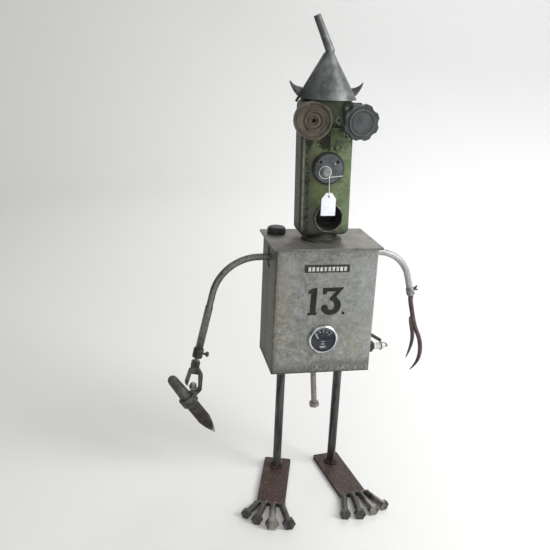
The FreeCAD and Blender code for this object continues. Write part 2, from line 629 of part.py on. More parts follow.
left_pipe, left_tip_x, left_tip_z = arm("left", True)
right_pipe, right_tip_x, right_tip_z = arm("right", False)
keep("left_arm_pipe", left_pipe)
keep("arm_anchors", group("arm_anchors", anchor("left", True), anchor("right", False)))
ARM_ENDS = {"left": ("-", left_tip_x, left_tip_z), "right": ("+", right_tip_x, right_tip_z)}


def wrist(side, along, outward="0"):
    """A point on or beside the line that the arm's lower end points along."""
    bend = f"{side}_arm_bend"
    sign, tip_x, tip_z = ARM_ENDS[side]
    return (f"{tip_x} {sign} ({along}) * cos({bend}) {sign} ({outward}) * sin({bend})",
            "seam_depth", f"{tip_z} - ({along}) * sin({bend}) + ({outward}) * cos({bend})")


LEFT_WRIST_TURN = (Y, "-(90 + left_arm_bend)")
RIGHT_WRIST_TURN = (Y, "90 + right_arm_bend")
LEFT_TIP = wrist("left", "0")
RIGHT_TIP = wrist("right", "0")
# local Z pointing back from the left wrist to the torso, and out from the right wrist
LEFT_INWARD = (Y, "180 - left_arm_bend")
RIGHT_OUTWARD = (Y, "right_arm_bend")

# ---------------------------------------------------------------- left hand
thumb_hole = rod("thumb_hole", "thumb_screw_radius + running_gap", "collar_radius + 4",
                 wrist("left", "thumb_level"), LEFT_INWARD)
collar_full = turned("collar_full", (
    ("pipe_radius", "-collar_above"), ("collar_radius - 1", "-collar_above"),
    ("collar_radius", "-collar_above + 1"), ("collar_radius", "collar_below - 1"),
    ("collar_radius - 1", "collar_below"), ("rod_radius + running_gap", "collar_below"),
    ("rod_radius + running_gap", "0"), ("pipe_radius", "0")), LEFT_TIP, LEFT_WRIST_TURN)
keep("wrist_collar", cut("wrist_collar", collar_full, thumb_hole))
keep("wrist_screw", turned("wrist_screw", (
    ("0", "rod_radius + 0.1"), ("thumb_screw_radius", "rod_radius + 0.1"),
    ("thumb_screw_radius", "thumb_head_start"), ("thumb_head_radius - 1.4", "thumb_head_start"),
    ("thumb_head_radius", "thumb_head_start + 1.6"), ("thumb_head_radius", "thumb_head_end - 1.6"),
    ("thumb_head_radius - 1.6", "thumb_head_end"), ("0", "thumb_head_end")),
    wrist("left", "thumb_level"), LEFT_INWARD))
keep("hand_rod", turned("hand_rod", (
    ("0", "1"), ("rod_radius - 1", "1"), ("rod_radius", "2"), ("rod_radius", "hand_nut_end"),
    ("0", "hand_nut_end")), LEFT_TIP, LEFT_WRIST_TURN))
keep("hand_nut", prism("hand_nut", hexagon("hand_nut_flats"), "hand_nut_end - hand_nut_start",
                       wrist("left", "hand_nut_start"), LEFT_WRIST_TURN, None,
                       ((("0", "0"), "rod_radius"),)))

# the yoke is drawn with local X outwards and local Y down the wrist's line
YOKE_OUTSIDE = ((-8, 0), (4, 0), (10, 10), (13.5, 50), (7, 61), (-18, 61), (-25, 48), (-20, 14))
YOKE_WINDOW = ((-11, 15), (4, 15), (6.5, 48), (1, 53), (-14, 53), (-17.5, 46))
yoke_full = new_body("yoke_full")
drawing = sketch(yoke_full)
for outline in (YOKE_OUTSIDE, YOKE_WINDOW):
    polygon(drawing, [(str(side), str(down)) for side, down in outline])
feature = pad(yoke_full, drawing, "yoke_thickness")
long_edges = edges(feature, lambda edge, middle: upright(edge, middle)
                   and (middle.y < 55 and (middle.x > 8 or middle.x < -18)))
fillet(yoke_full, feature, long_edges, "yoke_thickness / 4")
yoke_turn = Rotation(Y, value(LEFT_WRIST_TURN[1])) * Rotation(X, 90)
place(yoke_full, wrist("left", "hand_nut_end"), yoke_turn)
yoke_full.Placement.Base.y = value("seam_depth + yoke_thickness / 2")
yoke_full.setExpression("Placement.Base.y", bound("seam_depth + yoke_thickness / 2"))

BAND = wrist("left", "band_level", "-band_side")
BAR_TURN = (Y, "bar_turn")
band_clear = rod("band_clear", "band_radius", "band_width * 4",
                 (f"{BAND[0]} - band_width * 2 * sin(bar_turn)", BAND[1],
                  f"{BAND[2]} - band_width * 2 * cos(bar_turn)"), BAR_TURN)
SCREW_SIDE = "-6"
yoke_screw_hole = rod("yoke_screw_hole", "yoke_screw_radius + running_gap", "40",
                      wrist("left", "hand_nut_end + 40", SCREW_SIDE), LEFT_WRIST_TURN)
keep("hand_yoke", cut("hand_yoke", yoke_full, band_clear, yoke_screw_hole))
keep("bar_band", turned("bar_band", (
    ("bar_radius", "-band_width / 2"), ("band_radius - 1.5", "-band_width / 2"),
    ("band_radius", "-band_width / 2 + 1.5"), ("band_radius", "band_width / 2 - 1.5"),
    ("band_radius - 1.5", "band_width / 2"), ("bar_radius", "band_width / 2")), BAND, BAR_TURN))
keep("pointed_bar", turned("pointed_bar", (
    ("0", "-bar_above - bar_upper_radius"),
    ("bar_upper_radius * 0.5", "-bar_above - bar_upper_radius * 0.87"),
    ("bar_upper_radius * 0.87", "-bar_above - bar_upper_radius * 0.5"),
    ("bar_upper_radius", "-bar_above"), ("bar_radius - 1", "-band_width / 2 - 3"),
    ("bar_radius", "-band_width / 2 - 1"), ("bar_radius", "bar_taper_start"),
    ("bar_radius * 0.72", "bar_taper_start + (bar_below - bar_taper_start) * 0.42"),
    ("1.8", "bar_below - 2"), ("0", "bar_below")), BAND, BAR_TURN))
keep("yoke_screw", turned("yoke_screw", (
    ("0", "20"), ("yoke_screw_head_radius - 2", "20"), ("yoke_screw_head_radius", "22"),
    ("yoke_screw_head_radius", "33"), ("yoke_screw_head_radius - 1.5", "34.5"),
    ("yoke_screw_radius", "34.5"), ("yoke_screw_radius", "39"), ("0", "39")),
    wrist("left", "hand_nut_end + 17", SCREW_SIDE), LEFT_WRIST_TURN))

# ---------------------------------------------------------------- right hand
wing_hole = rod("wing_hole", "wing_screw_radius + running_gap", "ferrule_radius + 4",
                wrist("right", "-wing_level"), RIGHT_OUTWARD)
keep("right_arm_pipe", cut("right_arm_pipe", right_pipe, wing_hole))
ferrule_full = turned("ferrule_full", (
    ("pipe_radius", "-ferrule_length"), ("ferrule_radius - 0.8", "-ferrule_length"),
    ("ferrule_radius", "-ferrule_length + 1.5"), ("ferrule_radius", "-1.5"),
    ("ferrule_radius - 0.8", "0"), ("pipe_radius", "0")), RIGHT_TIP, RIGHT_WRIST_TURN)
keep("claw_ferrule", cut("claw_ferrule", ferrule_full, wing_hole))

wing_screw = rod("wing_screw", "wing_screw_radius", "wing_start - claw_stem_radius",
                 wrist("right", "-wing_level", "claw_stem_radius + 0.2"), RIGHT_OUTWARD)
wing_plate = prism("wing_plate", (
    ("-wing_height / 2", "wing_end - wing_start"), ("-wing_height / 4", "0"),
    ("wing_height / 4", "0"), ("wing_height / 2", "wing_end - wing_start"),
    ("wing_height / 5", "wing_end - wing_start - 1"), ("0", "(wing_end - wing_start) * 0.45"),
    ("-wing_height / 5", "wing_end - wing_start - 1")), "wing_thickness",
    wrist("right", "-wing_level", "wing_start"),
    Rotation(Y, value(RIGHT_OUTWARD[1])) * Rotation(X, 90))
wing_plate.Placement.Base.y = value("seam_depth + wing_thickness / 2")
wing_plate.setExpression("Placement.Base.y", bound("seam_depth + wing_thickness / 2"))
wing_boss = rod("wing_boss", "wing_screw_radius + 1.4", "3",
                wrist("right", "-wing_level", "wing_start"), RIGHT_OUTWARD)
keep("wing_bolt", fuse("wing_bolt", wing_screw, wing_plate, wing_boss))


def tine(name, stations):
    """A tapered tine lofted through level circles, hung from the right wrist."""
    body = new_body(name)
    rings = []
    for sideways, down, radius in stations:
        ring = sketch(body, "XY_Plane", str(-down))
        circle(ring, (str(sideways), "0"), str(radius))
        rings.append(ring)
    loft = body.newObject("PartDesign::AdditiveLoft", name + "_loft")
    loft.Profile = rings[0]
    loft.Sections = rings[1:]
    return place(body, RIGHT_TIP)


claw_stem = rod("claw_stem", "claw_stem_radius", "claw_stem_length + 6",
                wrist("right", "-claw_stem_length"), RIGHT_WRIST_TURN)
outer_tine = tine("outer_tine", OUTER_TINE)
place(outer_tine, (RIGHT_TIP[0], RIGHT_TIP[1], f"{RIGHT_TIP[2]} - 2.6"))
inner_tine = tine("inner_tine", INNER_TINE)
keep("claw", fuse("claw", claw_stem, outer_tine, inner_tine))

# ---------------------------------------------------------------- spark plug and lead
PLUG = (HALF_WIDTH, "plug_back", f"{BODY_BOTTOM} + plug_level")


def plug_at(run):
    return (f"{HALF_WIDTH} + {run}", PLUG[1], PLUG[2])


plug_hex = prism("plug_hex", hexagon("plug_flats"), "plug_body_length * 0.62",
                 plug_at("plug_body_length * 0.2"), SIDEWAYS)
plug_round = turned("plug_round", (
    ("0", "0"), ("plug_flats / 2 - 1", "0"), ("plug_flats / 2 - 1", "plug_body_length * 0.2"),
    ("plug_flats / 2 - 1", "plug_body_length * 0.82"), ("insulator_radius + 0.8", "plug_body_length"),
    ("0", "plug_body_length")), PLUG, SIDEWAYS)
keep("plug_body", fuse("plug_body", plug_hex, plug_round))
ribs = []
rib_count = 4
for number in range(rib_count):
    start = f"insulator_length * {0.1 + 0.2 * number:.2f}"
    ribs += [("insulator_radius", start), ("insulator_radius", f"{start} + insulator_length * 0.09"),
             ("insulator_waist", f"{start} + insulator_length * 0.12"),
             ("insulator_waist", f"{start} + insulator_length * 0.17")]
keep("plug_insulator", turned("plug_insulator", [
    ("0", "0"), ("insulator_radius", "0"), *ribs,
    ("insulator_waist - 0.6", "insulator_length"), ("0", "insulator_length")],
    plug_at("plug_body_length"), SIDEWAYS))
keep("plug_terminal", turned("plug_terminal", (
    ("0", "0"), ("terminal_radius - 0.8", "0"), ("terminal_radius - 0.8", "1.5"),
    ("terminal_radius", "1.5"), ("terminal_radius", "4"), ("terminal_radius - 1", "4.6"),
    ("terminal_radius", "5.2"), ("terminal_radius - 0.8", "terminal_length"),
    ("0", "terminal_length")), plug_at("plug_body_length + insulator_length"), SIDEWAYS))
lead_full = rod("lead_full", "lead_radius", "sqrt(lead_run^2 + lead_drop^2) + 6",
                (f"{HALF_WIDTH} - 6 * lead_run / sqrt(lead_run^2 + lead_drop^2)", "plug_back",
                 f"{BODY_BOTTOM} + lead_level + 6 * lead_drop / sqrt(lead_run^2 + lead_drop^2)"),
                (Y, "90 deg + atan(lead_drop / lead_run)"))
inside_wall = block("inside_wall", ("20", "30", "60"),
                    (f"{HALF_WIDTH} - 20", "plug_back - 15", f"{BODY_BOTTOM} + lead_level - 30"))
keep("plug_lead", cut("plug_lead", lead_full, inside_wall))
clip_ring = doc.addObject("Part::Torus", "clip_ring")
bind(clip_ring, Radius1="insulator_radius + clip_wire", Radius2="clip_wire")
place(clip_ring, plug_at("clip_x"), SIDEWAYS)
clip_stalk = rod("clip_stalk", "clip_wire", "sqrt((plug_body_length + insulator_length + 3 - clip_x)^2"
                 " + (insulator_radius + clip_wire)^2)",
                 (f"{HALF_WIDTH} + clip_x", "plug_back", f"{PLUG[2]} + insulator_radius + clip_wire"),
                 (Y, "90 deg + atan((insulator_radius - terminal_radius) / (plug_body_length"
                     " + insulator_length + 3 - clip_x))"))
terminal_clear = rod("terminal_clear", "terminal_radius", "terminal_length + 20",
                     plug_at("plug_body_length + insulator_length"), SIDEWAYS)
keep("lead_clip", cut("lead_clip", fuse("lead_clip", clip_ring, clip_stalk),
                      terminal_clear, parts["plug_insulator"], parts["plug_lead"]))


# ---------------------------------------------------------------- head
def can_solid(name, shrink):
    """The can's rounded block, made smaller all round by a wall."""
    width = f"(head_width / 2 - {shrink})"
    body = new_body(name)
    drawing = sketch(body)
    rectangle(drawing, f"-{width}", width, shrink, f"head_height - {shrink}")
    feature = pad(body, drawing, f"head_depth - 2 * {shrink}")
    feature = fillet(body, feature, edges(feature, upright), f"head_corner - {shrink}")
    if shrink == "0":
        depth = value("head_depth")
        rim = edges(feature, lambda edge, middle: abs(middle.z) < 1e-6 or abs(middle.z - depth) < 1e-6)
        fillet(body, feature, rim, "head_edge")
    place(body, ("head_x", f"head_front + head_depth - {shrink}", HEAD_BOTTOM),
          Rotation(Y, -value("head_lean")) * Rotation(X, 90))
    return body


def on_face(x, level, proud="0"):
    """A point on the front of the can, or standing proud of it."""
    return (x, f"head_front - ({proud})", f"{HEAD_BOTTOM} + {level}")


can_outer = can_solid("can_outer", "0")
can_inner = can_solid("can_inner", "head_wall")
mouth_hole = rod("mouth_hole", "mouth_tube_radius", "head_wall * 4",
                 on_face("mouth_x", "mouth_level", "-head_wall * 3"), FORWARD)
neck_hole = rod("neck_hole", "neck_pin_radius + 1", "head_wall * 6",
                (NECK[0], NECK[1], f"{HEAD_BOTTOM} - head_wall * 3"))
keep("head_can", cut("head_can", can_outer, can_inner, mouth_hole, neck_hole))

RING_BOTTOM = f"({COLLAR_TOP} + turning_gap)"
ring_full = turned("ring_full", (
    ("neck_pin_radius + running_gap", RING_BOTTOM), ("neck_ring_radius", RING_BOTTOM),
    ("neck_ring_radius", f"{RING_BOTTOM} + 1.6"), ("neck_ring_radius - 1.4", f"{RING_BOTTOM} + 2.6"),
    ("neck_ring_radius", f"{RING_BOTTOM} + 3.6"), ("neck_ring_radius", "neck_height + 1"),
    ("neck_pin_radius + running_gap", "neck_height + 1")), NECK)
keep("neck_ring", cut("neck_ring", ring_full, can_outer))

thread = []
thread_count = 6
for number in range(thread_count):
    deep = f"-mouth_depth + {3 + 5 * number}"
    thread += [("mouth_bore", deep), ("mouth_bore - 1.3", f"{deep} + 1.2"),
               ("mouth_bore", f"{deep} + 2.4")]
keep("mouth_ring", turned("mouth_ring", [
    ("mouth_tube_radius", "0"), ("mouth_lip_radius", "0"), ("mouth_lip_radius", "mouth_lip - 1.5"),
    ("mouth_lip_radius - 1.2", "mouth_lip"), ("mouth_bore + 0.8", "mouth_lip"),
    ("mouth_bore", "mouth_lip - 1"), *reversed(thread), ("mouth_bore", "-mouth_depth"),
    ("mouth_tube_radius", "-mouth_depth")], on_face("mouth_x", "mouth_level"), FORWARD))

keep("left_eye", turned("left_eye", (
    ("left_eye_radius", "0"), ("left_eye_radius", "left_eye_depth - 2"),
    ("left_eye_radius - 2", "left_eye_depth"), ("left_eye_radius - 4.5", "left_eye_depth"),
    ("left_eye_radius - 6", "left_eye_depth - 3"), ("19", "left_eye_depth - 4"),
    ("17.5", "left_eye_depth - 1.6"), ("15.5", "left_eye_depth - 1.6"),
    ("14", "left_eye_depth - 3.6"), ("11", "left_eye_depth - 3.6"),
    ("10", "left_eye_depth - 0.6"), ("7.5", "left_eye_depth - 0.6"),
    ("7", "left_eye_depth - 3"), ("4", "left_eye_depth - 3"), ("4", "4"), ("0", "4"), ("0", "0")),
    on_face("-left_eye_x", "eye_level"), FORWARD))

BRACKET = ((-19, -17), (11, -17), (15, -8), (12, 27), (6, 33), (-24, 33), (-27, 29), (-27, 13),
           (-19, 9))
keep("eye_bracket", prism(
    "eye_bracket", [(str(across), str(up)) for across, up in BRACKET], "bracket_thickness",
    on_face("right_eye_x", "eye_level"), FORWARD))
keep("eye_bush", turned("eye_bush", (
    ("eye_spindle_radius + running_gap", "0"), ("eye_bush_radius", "0"),
    ("eye_bush_radius", "eye_bush_length - 1"), ("eye_bush_radius - 1", "eye_bush_length"),
    ("eye_spindle_radius + running_gap", "eye_bush_length")),
    on_face("right_eye_x", "eye_level", "bracket_thickness"), FORWARD))

knob = new_body("right_eye_knob")
disc = sketch(knob)
circle(disc, ("0", "0"), "right_eye_radius")
pad(knob, disc, "right_eye_thickness")
notch_ring(knob, "eye_scallop_radius", "right_eye_radius + eye_scallop_radius - eye_scallop_depth",
           "right_eye_thickness", "eye_lobe_count", True)
face_ring = sketch(knob, "XY_Plane", "right_eye_thickness")
circle(face_ring, ("0", "0"), "right_eye_face_radius")
pad(knob, face_ring, "right_eye_face_rise")
inner_ring = sketch(knob, "XY_Plane", "right_eye_thickness + right_eye_face_rise")
circle(inner_ring, ("0", "0"), "right_eye_face_radius - 3")
circle(inner_ring, ("0", "0"), "right_eye_face_radius - 5")
pocket(knob, inner_ring, "1.2")
spindle = sketch(knob)
circle(spindle, ("0", "0"), "eye_spindle_radius")
pad(knob, spindle, "right_eye_standoff - bracket_thickness - 1", True)
doc.recompute()
rim = edges(knob.Tip, lambda edge, middle: math.hypot(middle.x, middle.y) > value(
    "right_eye_radius - eye_scallop_depth") - 0.1 and not upright(edge, middle))
fillet(knob, knob.Tip, rim, "1.6")
place(knob, on_face("right_eye_x", "eye_level", "right_eye_standoff"), FORWARD)
keep("right_eye_knob", knob)

keep("eyelet", turned("eyelet", (
    ("eyelet_bore", "0"), ("eyelet_radius", "0"), ("eyelet_radius - 0.6", "1.2"),
    ("eyelet_bore + 0.6", "1.6"), ("eyelet_bore", "1")), on_face("eyelet_x", "eye_level"), FORWARD))

clip = new_body("clip_plate")
drawing = sketch(clip)
rectangle(drawing, "0", "clip_width", "0", "clip_height")
feature = pad(clip, drawing, "clip_thickness")
fillet(clip, feature, edges(feature, upright), "3")
ridge_count = 3
for number in range(ridge_count):
    ridge = sketch(clip, "XY_Plane", "clip_thickness")
    low = f"clip_height * {0.14 + 0.28 * number:.2f}"
    rectangle(ridge, "3", "clip_width - 3", low, f"{low} + clip_height * 0.14")
    pad(clip, ridge, "1.6")
place(clip, on_face("clip_x_left", "clip_level"), FORWARD)
keep("clip_plate", clip)

NOSE_FRONT = "(nose_base_depth + nose_plate_depth)"
keep("nose_base", turned("nose_base", (
    ("0", "0"), ("nose_base_radius", "0"), ("nose_base_radius", "nose_base_depth - 1.5"),
    ("nose_base_radius - 1.5", "nose_base_depth"), ("0", "nose_base_depth")),
    on_face("0", "nose_level"), FORWARD))
knob_spot = ("-nose_knob_x", "-nose_knob_drop")
nose_plate = new_body("nose_plate")
drawing = sketch(nose_plate)
circle(drawing, ("0", "0"), "nose_plate_radius")
circle(drawing, knob_spot, "nose_stem_radius + running_gap")
circle(drawing, ("16", "12.5"), "3.2")
circle(drawing, ("-17", "12.5"), "3.2")
pad(nose_plate, drawing, "nose_plate_depth")
place(nose_plate, on_face("0", "nose_level", "nose_base_depth"), FORWARD)
keep("nose_plate", nose_plate)
KNOB = on_face(knob_spot[0], f"nose_level + {knob_spot[1]}", "nose_base_depth")
keep("nose_knob", turned("nose_knob", (
    ("0", "0.2"), ("nose_stem_radius", "0.2"), ("nose_stem_radius", "nose_knob_start"),
    ("nose_knob_radius - 0.8", "nose_knob_start"), ("nose_knob_radius", "nose_knob_start + 1"),
    ("nose_knob_radius", "nose_knob_end - 2.5"), ("nose_knob_radius - 2.5", "nose_knob_end"),
    ("0", "nose_knob_end")), KNOB, FORWARD))

screws = []
SCREWS = (("10", "nose_level + 9", NOSE_FRONT, "3.4"),
          ("19.8", "nose_level + 15.6", NOSE_FRONT, "1.8"),
          ("-20.2", "nose_level + 15", NOSE_FRONT, "1.8"),
          ("42", "eye_level + 27", "bracket_thickness", "5"),
          ("27", "eye_level + 22", "bracket_thickness", "3.2"))
for number, (x, level, proud, radius) in enumerate(SCREWS):
    screws.append(turned(f"head_screw_{number}", (
        ("0", "0"), (radius, "0"), (radius, "1.2"), (f"{radius} * 0.6", "2.4"), ("0", "2.6")),
        on_face(x, level, proud), FORWARD))
keep("head_screws", group("head_screws", *screws))

# ---------------------------------------------------------------- funnel hat and horns
HAT = ("-hat_x", "leg_back - 1.5", f"{HEAD_BOTTOM} + head_height")
SLOPE = "((hat_radius - hat_neck_radius) / hat_height)"
LEAN = f"atan({SLOPE})"
TAB_X = f"-hat_x - hat_radius - hat_tab * sin({LEAN})"
TAB_BOTTOM = f"{HAT[2]} - hat_tab * cos({LEAN})"
cone_sheet = turned("cone_sheet", (
    ("hat_radius", "0"), ("hat_neck_radius", "hat_height"),
    ("hat_neck_radius", "hat_height + hat_collar"),
    ("hat_neck_radius - hat_sheet", "hat_height + hat_collar"),
    ("hat_neck_radius - hat_sheet", "hat_height"), ("hat_radius - hat_sheet", "0")), HAT)
cone_filled = turned("cone_filled", (
    ("0", "0"), ("hat_radius", "0"), ("hat_neck_radius", "hat_height"), ("0", "hat_height")), HAT)
cone_below = turned("cone_below", (
    ("0", "-hat_tab * 2"), (f"hat_radius + hat_tab * 2 * {SLOPE}", "-hat_tab * 2"),
    ("hat_neck_radius", "hat_height"), ("0", "hat_height")), HAT)
seam_full = block("seam_full", ("hat_seam_proud * 2", "hat_seam_width",
                                "sqrt(hat_height^2 + (hat_radius - hat_neck_radius)^2) + hat_tab"),
                  (f"{TAB_X} - hat_seam_proud * cos({LEAN})", f"{HAT[1]} - hat_seam_width / 2",
                   f"{TAB_BOTTOM} + hat_seam_proud * sin({LEAN})"), (Y, LEAN))
seam = cut("seam", seam_full, cone_below)
tab = block("tab", ("hat_seam_proud", "hat_seam_width", "hat_tab + 2"),
            (TAB_X, f"{HAT[1]} - hat_seam_width / 2", TAB_BOTTOM), (Y, LEAN))
keep("funnel_cone", fuse("funnel_cone", cone_sheet, seam, cut("tab", tab, cone_filled)))

INSIDE_RADIUS = "hat_radius - hat_sheet"
seat_full = turned("seat_full", (
    ("0", "-3"), ("24", "-3"), ("24", "0"), (INSIDE_RADIUS, "0"),
    (f"{INSIDE_RADIUS} - hat_seat_height * {SLOPE}", "hat_seat_height"), ("0", "hat_seat_height")),
    HAT)
keep("hat_seat", cut("hat_seat", seat_full, can_outer))

NECK_TOP = f"{HAT[2]} + hat_height + hat_collar"
spout_full = turned("spout_full", (
    ("hat_neck_radius", "-8"), ("spout_tip_radius", "spout_length"),
    ("spout_tip_radius - hat_sheet", "spout_length"), ("hat_neck_radius - hat_sheet", "-8")),
    (HAT[0], HAT[1], NECK_TOP), (Y, "-spout_turn"))
below_neck = block("below_neck", ("hat_neck_radius * 6", "hat_neck_radius * 6", "30"),
                   (f"{HAT[0]} - hat_neck_radius * 3", f"{HAT[1]} - hat_neck_radius * 3",
                    f"{NECK_TOP} - 30"))
keep("funnel_spout", cut("funnel_spout", spout_full, below_neck))


def ellipse_ring(drawing, up, half_height, half_depth):
    """An upright ellipse, taller than it is deep, as a closed sketch curve."""
    centre = Vector(0, up, 0)
    top, side = centre + Vector(0, half_height, 0), centre + Vector(half_depth, 0, 0)
    drawing.addGeometry(Part.Ellipse(top, side, centre))


def horn(name, sign):
    """A curved horn lofted out along local X, cut to sit on the funnel's side."""
    body = new_body(name)
    rings = []
    for out, up, half_height, half_depth in HORN:
        ring = sketch(body, "YZ_Plane", str(sign * out))
        ellipse_ring(ring, up, half_height, half_depth)
        rings.append(ring)
    loft = body.newObject("PartDesign::AdditiveLoft", name + "_loft")
    loft.Profile = rings[0]
    loft.Sections = rings[1:]
    place(body, (HAT[0], f"{HAT[1]} + 9", HAT[2]))
    return cut(name, body, cone_below)


keep("horns", group("horns", horn("left_horn", -1), horn("right_horn", 1)))

# ---------------------------------------------------------------- price tag and string
TAG_Y = "head_front - nose_base_depth - nose_knob_start - 6"
TAG = ("-nose_knob_x + tag_side", f"{TAG_Y} + tag_thickness / 2", f"{KNOB[2]} - tag_hole_drop")
keep("price_tag", prism("price_tag", (
    ("-tag_width / 2", "-tag_length + 7"), ("tag_width / 2", "-tag_length + 7"),
    ("tag_width / 2", "7 - tag_clip"), ("tag_width / 5", "7"), ("-tag_width / 5", "7"),
    ("-tag_width / 2", "7 - tag_clip")), "tag_thickness", TAG, FORWARD, None,
    ((("0", "0"), "tag_hole_radius"),)))
loop = doc.addObject("Part::Torus", "string_loop")
bind(loop, Radius1="string_loop_radius", Radius2="string_radius")
place(loop, (KNOB[0], TAG_Y, f"{KNOB[2]} - string_loop_drop"), FORWARD)


def strand(name, start, end):
    """A straight run of string between two points of (side, proud, up) from the knob."""
    a = Vector(value(KNOB[0]) + start[0], value(TAG_Y) - start[1], value(KNOB[2]) + start[2])
    b = Vector(value(KNOB[0]) + end[0], value(TAG_Y) - end[1], value(KNOB[2]) + end[2])
    run = doc.addObject("Part::Cylinder", name)
    bind(run, Radius="string_radius")
    run.Height = (b - a).Length
    run.Placement = FreeCAD.Placement(a, Rotation(Z, b - a))
    return run


KNOT = (8.4, 0, -10.4)
hole_drop = -value("tag_hole_drop")
knot = ball("string_knot", "string_radius * 2",
            (f"{KNOB[0]} + {KNOT[0]}", TAG_Y, f"{KNOB[2]} + {KNOT[2]}"))
side = value("tag_side")
strands = [strand("strand_back", KNOT, (side, -1.4, hole_drop + 1.4)),
           strand("strand_front", KNOT, (side, 1.4, hole_drop + 1.4)),
           strand("strand_hole", (side, -1.4, hole_drop + 1.4), (side, 1.4, hole_drop + 1.4)),
           strand("strand_end", KNOT, (34, 1.5, -7.5))]
keep("tag_string", fuse("tag_string", loop, knot, *strands))

# ---------------------------------------------------------------- check and write
doc.recompute()
for thing in doc.Objects:
    assert not {"Invalid", "Error"} & set(thing.State), f"{thing.Label}: {thing.State}"
for label, thing in parts.items():
    assert not thing.Shape.isNull() and thing.Shape.isValid(), label

overall = FreeCAD.BoundBox()
for thing in parts.values():
    overall.add(thing.Shape.optimalBoundingBox(False, False))
shift = Vector(-overall.Center.x, -overall.Center.y, -overall.ZMin)

os.makedirs("parts", exist_ok=True)
for label, thing in parts.items():
    shape = thing.Shape.copy()
    shape.translate(shift)
    shape.exportStep(f"parts/{label}.step")

print(f"{len(parts)} sub-parts, {overall.XLength:.1f} x {overall.YLength:.1f} x {overall.ZLength:.1f} mm")
print(f"shift {shift.x:.4f} {shift.y:.4f} {shift.z:.4f}")
PLACES = {"neck": NECK, "needle": NEEDLE_PIVOT, "filler": ("-filler_x", "filler_back", BODY_TOP),
          "left_wrist": LEFT_TIP, "wrist_screw": wrist("left", "thumb_level"),
          "yoke_screw": wrist("left", "hand_nut_end + 40", SCREW_SIDE), "right_wrist": RIGHT_TIP,
          "wing": wrist("right", "-wing_level"), "nose_knob": KNOB,
          "right_eye": on_face("right_eye_x", "eye_level"),
          "left_foot": ("-left_leg_x", "leg_back", "0"), "right_foot": ("right_leg_x", "leg_back", "0"),
          "mouth": on_face("mouth_x", "mouth_level")}
for name, spot in PLACES.items():
    point = Vector(*(value(text) for text in spot)) + shift
    print(f"place {name} {point.x:.4f} {point.y:.4f} {point.z:.4f}")
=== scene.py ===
# %% [markdown]
# # A scrap-metal robot in a funnel hat
# The figure is welded from found things: a folded galvanised box, a green fuel
# can for a head, a kitchen funnel for a hat, pipe arms and toes made of bolts.
# The mechanical model already gives every piece its size and place. This lesson
# gives the pieces their looks: one finish for each material, then the small
# things that only show as detail, such as painted numerals, weld beads and dial
# ticks. Work goes from the stage inwards: camera, light, finishes, details.

# %% Load the frame
import json
import math

import bmesh
import bpy
from mathutils import Matrix, Vector


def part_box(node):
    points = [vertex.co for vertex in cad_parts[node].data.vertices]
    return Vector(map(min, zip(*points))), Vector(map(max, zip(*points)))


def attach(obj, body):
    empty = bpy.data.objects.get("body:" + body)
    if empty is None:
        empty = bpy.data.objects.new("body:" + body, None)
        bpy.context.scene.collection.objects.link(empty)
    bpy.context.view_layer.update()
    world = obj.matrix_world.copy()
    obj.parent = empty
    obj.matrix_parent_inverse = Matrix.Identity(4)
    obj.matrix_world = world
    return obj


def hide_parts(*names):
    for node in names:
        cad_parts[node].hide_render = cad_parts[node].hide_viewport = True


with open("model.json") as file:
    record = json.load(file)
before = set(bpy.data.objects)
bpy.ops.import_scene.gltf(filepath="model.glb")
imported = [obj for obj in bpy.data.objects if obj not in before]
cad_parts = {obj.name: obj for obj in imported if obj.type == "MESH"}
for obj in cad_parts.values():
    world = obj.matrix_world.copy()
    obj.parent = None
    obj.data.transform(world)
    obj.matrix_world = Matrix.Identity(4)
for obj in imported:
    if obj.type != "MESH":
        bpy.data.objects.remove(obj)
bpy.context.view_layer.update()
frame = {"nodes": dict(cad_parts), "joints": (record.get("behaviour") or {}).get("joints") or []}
NODES = frame["nodes"]
MM = 0.001

# %% [markdown]
# ## The camera
# The figure is seen from a little above its hat and from its right-hand side,
# with the view tipped a touch. A camera's matrix has its own right, up and
# backward directions as columns, so the view is written as those three
# directions, and the tip is a turn of the first two about the third.

# %% Camera
TORSO_LOW, TORSO_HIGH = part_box("front_tray")
TORSO_X = (TORSO_LOW.x + TORSO_HIGH.x) / 2
TORSO_FRONT = TORSO_LOW.y
TORSO_SEAM = TORSO_HIGH.y
AZIMUTH, ELEVATION, TIP = (math.radians(angle) for angle in (-11.64, 17.97, 2.5))
LENS = 45.3
STAND = (-0.3543, -1.2238, 0.8799)

back = Vector((math.sin(AZIMUTH) * math.cos(ELEVATION),
               -math.cos(AZIMUTH) * math.cos(ELEVATION), math.sin(ELEVATION)))
level = (-back).cross(Vector((0, 0, 1))).normalized()
upward = back.cross(level)
right = level * math.cos(TIP) + upward * math.sin(TIP)
turn = Matrix((right, back.cross(right), back)).transposed().to_4x4()

camera = bpy.data.objects.new("camera", bpy.data.cameras.new("camera"))
bpy.context.collection.objects.link(camera)
camera.data.lens = LENS
camera.data.clip_start = 0.01
stand = Vector((TORSO_X, TORSO_FRONT, 0)) + Vector(STAND)
camera.matrix_world = Matrix.Translation(stand) @ turn
bpy.context.scene.camera = camera
bpy.context.scene.view_settings.view_transform = "Standard"
print("camera", [round(value, 3) for value in camera.location])

# %% [markdown]
# ## Shader maths in plain Python
# A finish is a web of nodes, and most of them only add, multiply or compare.
# The class below wraps one output socket so that Python's own operators make
# those nodes, and `1 - mask` or `grain * 0.3 + cloud` can be written as they
# are read. Any other node comes from one method, `node`.

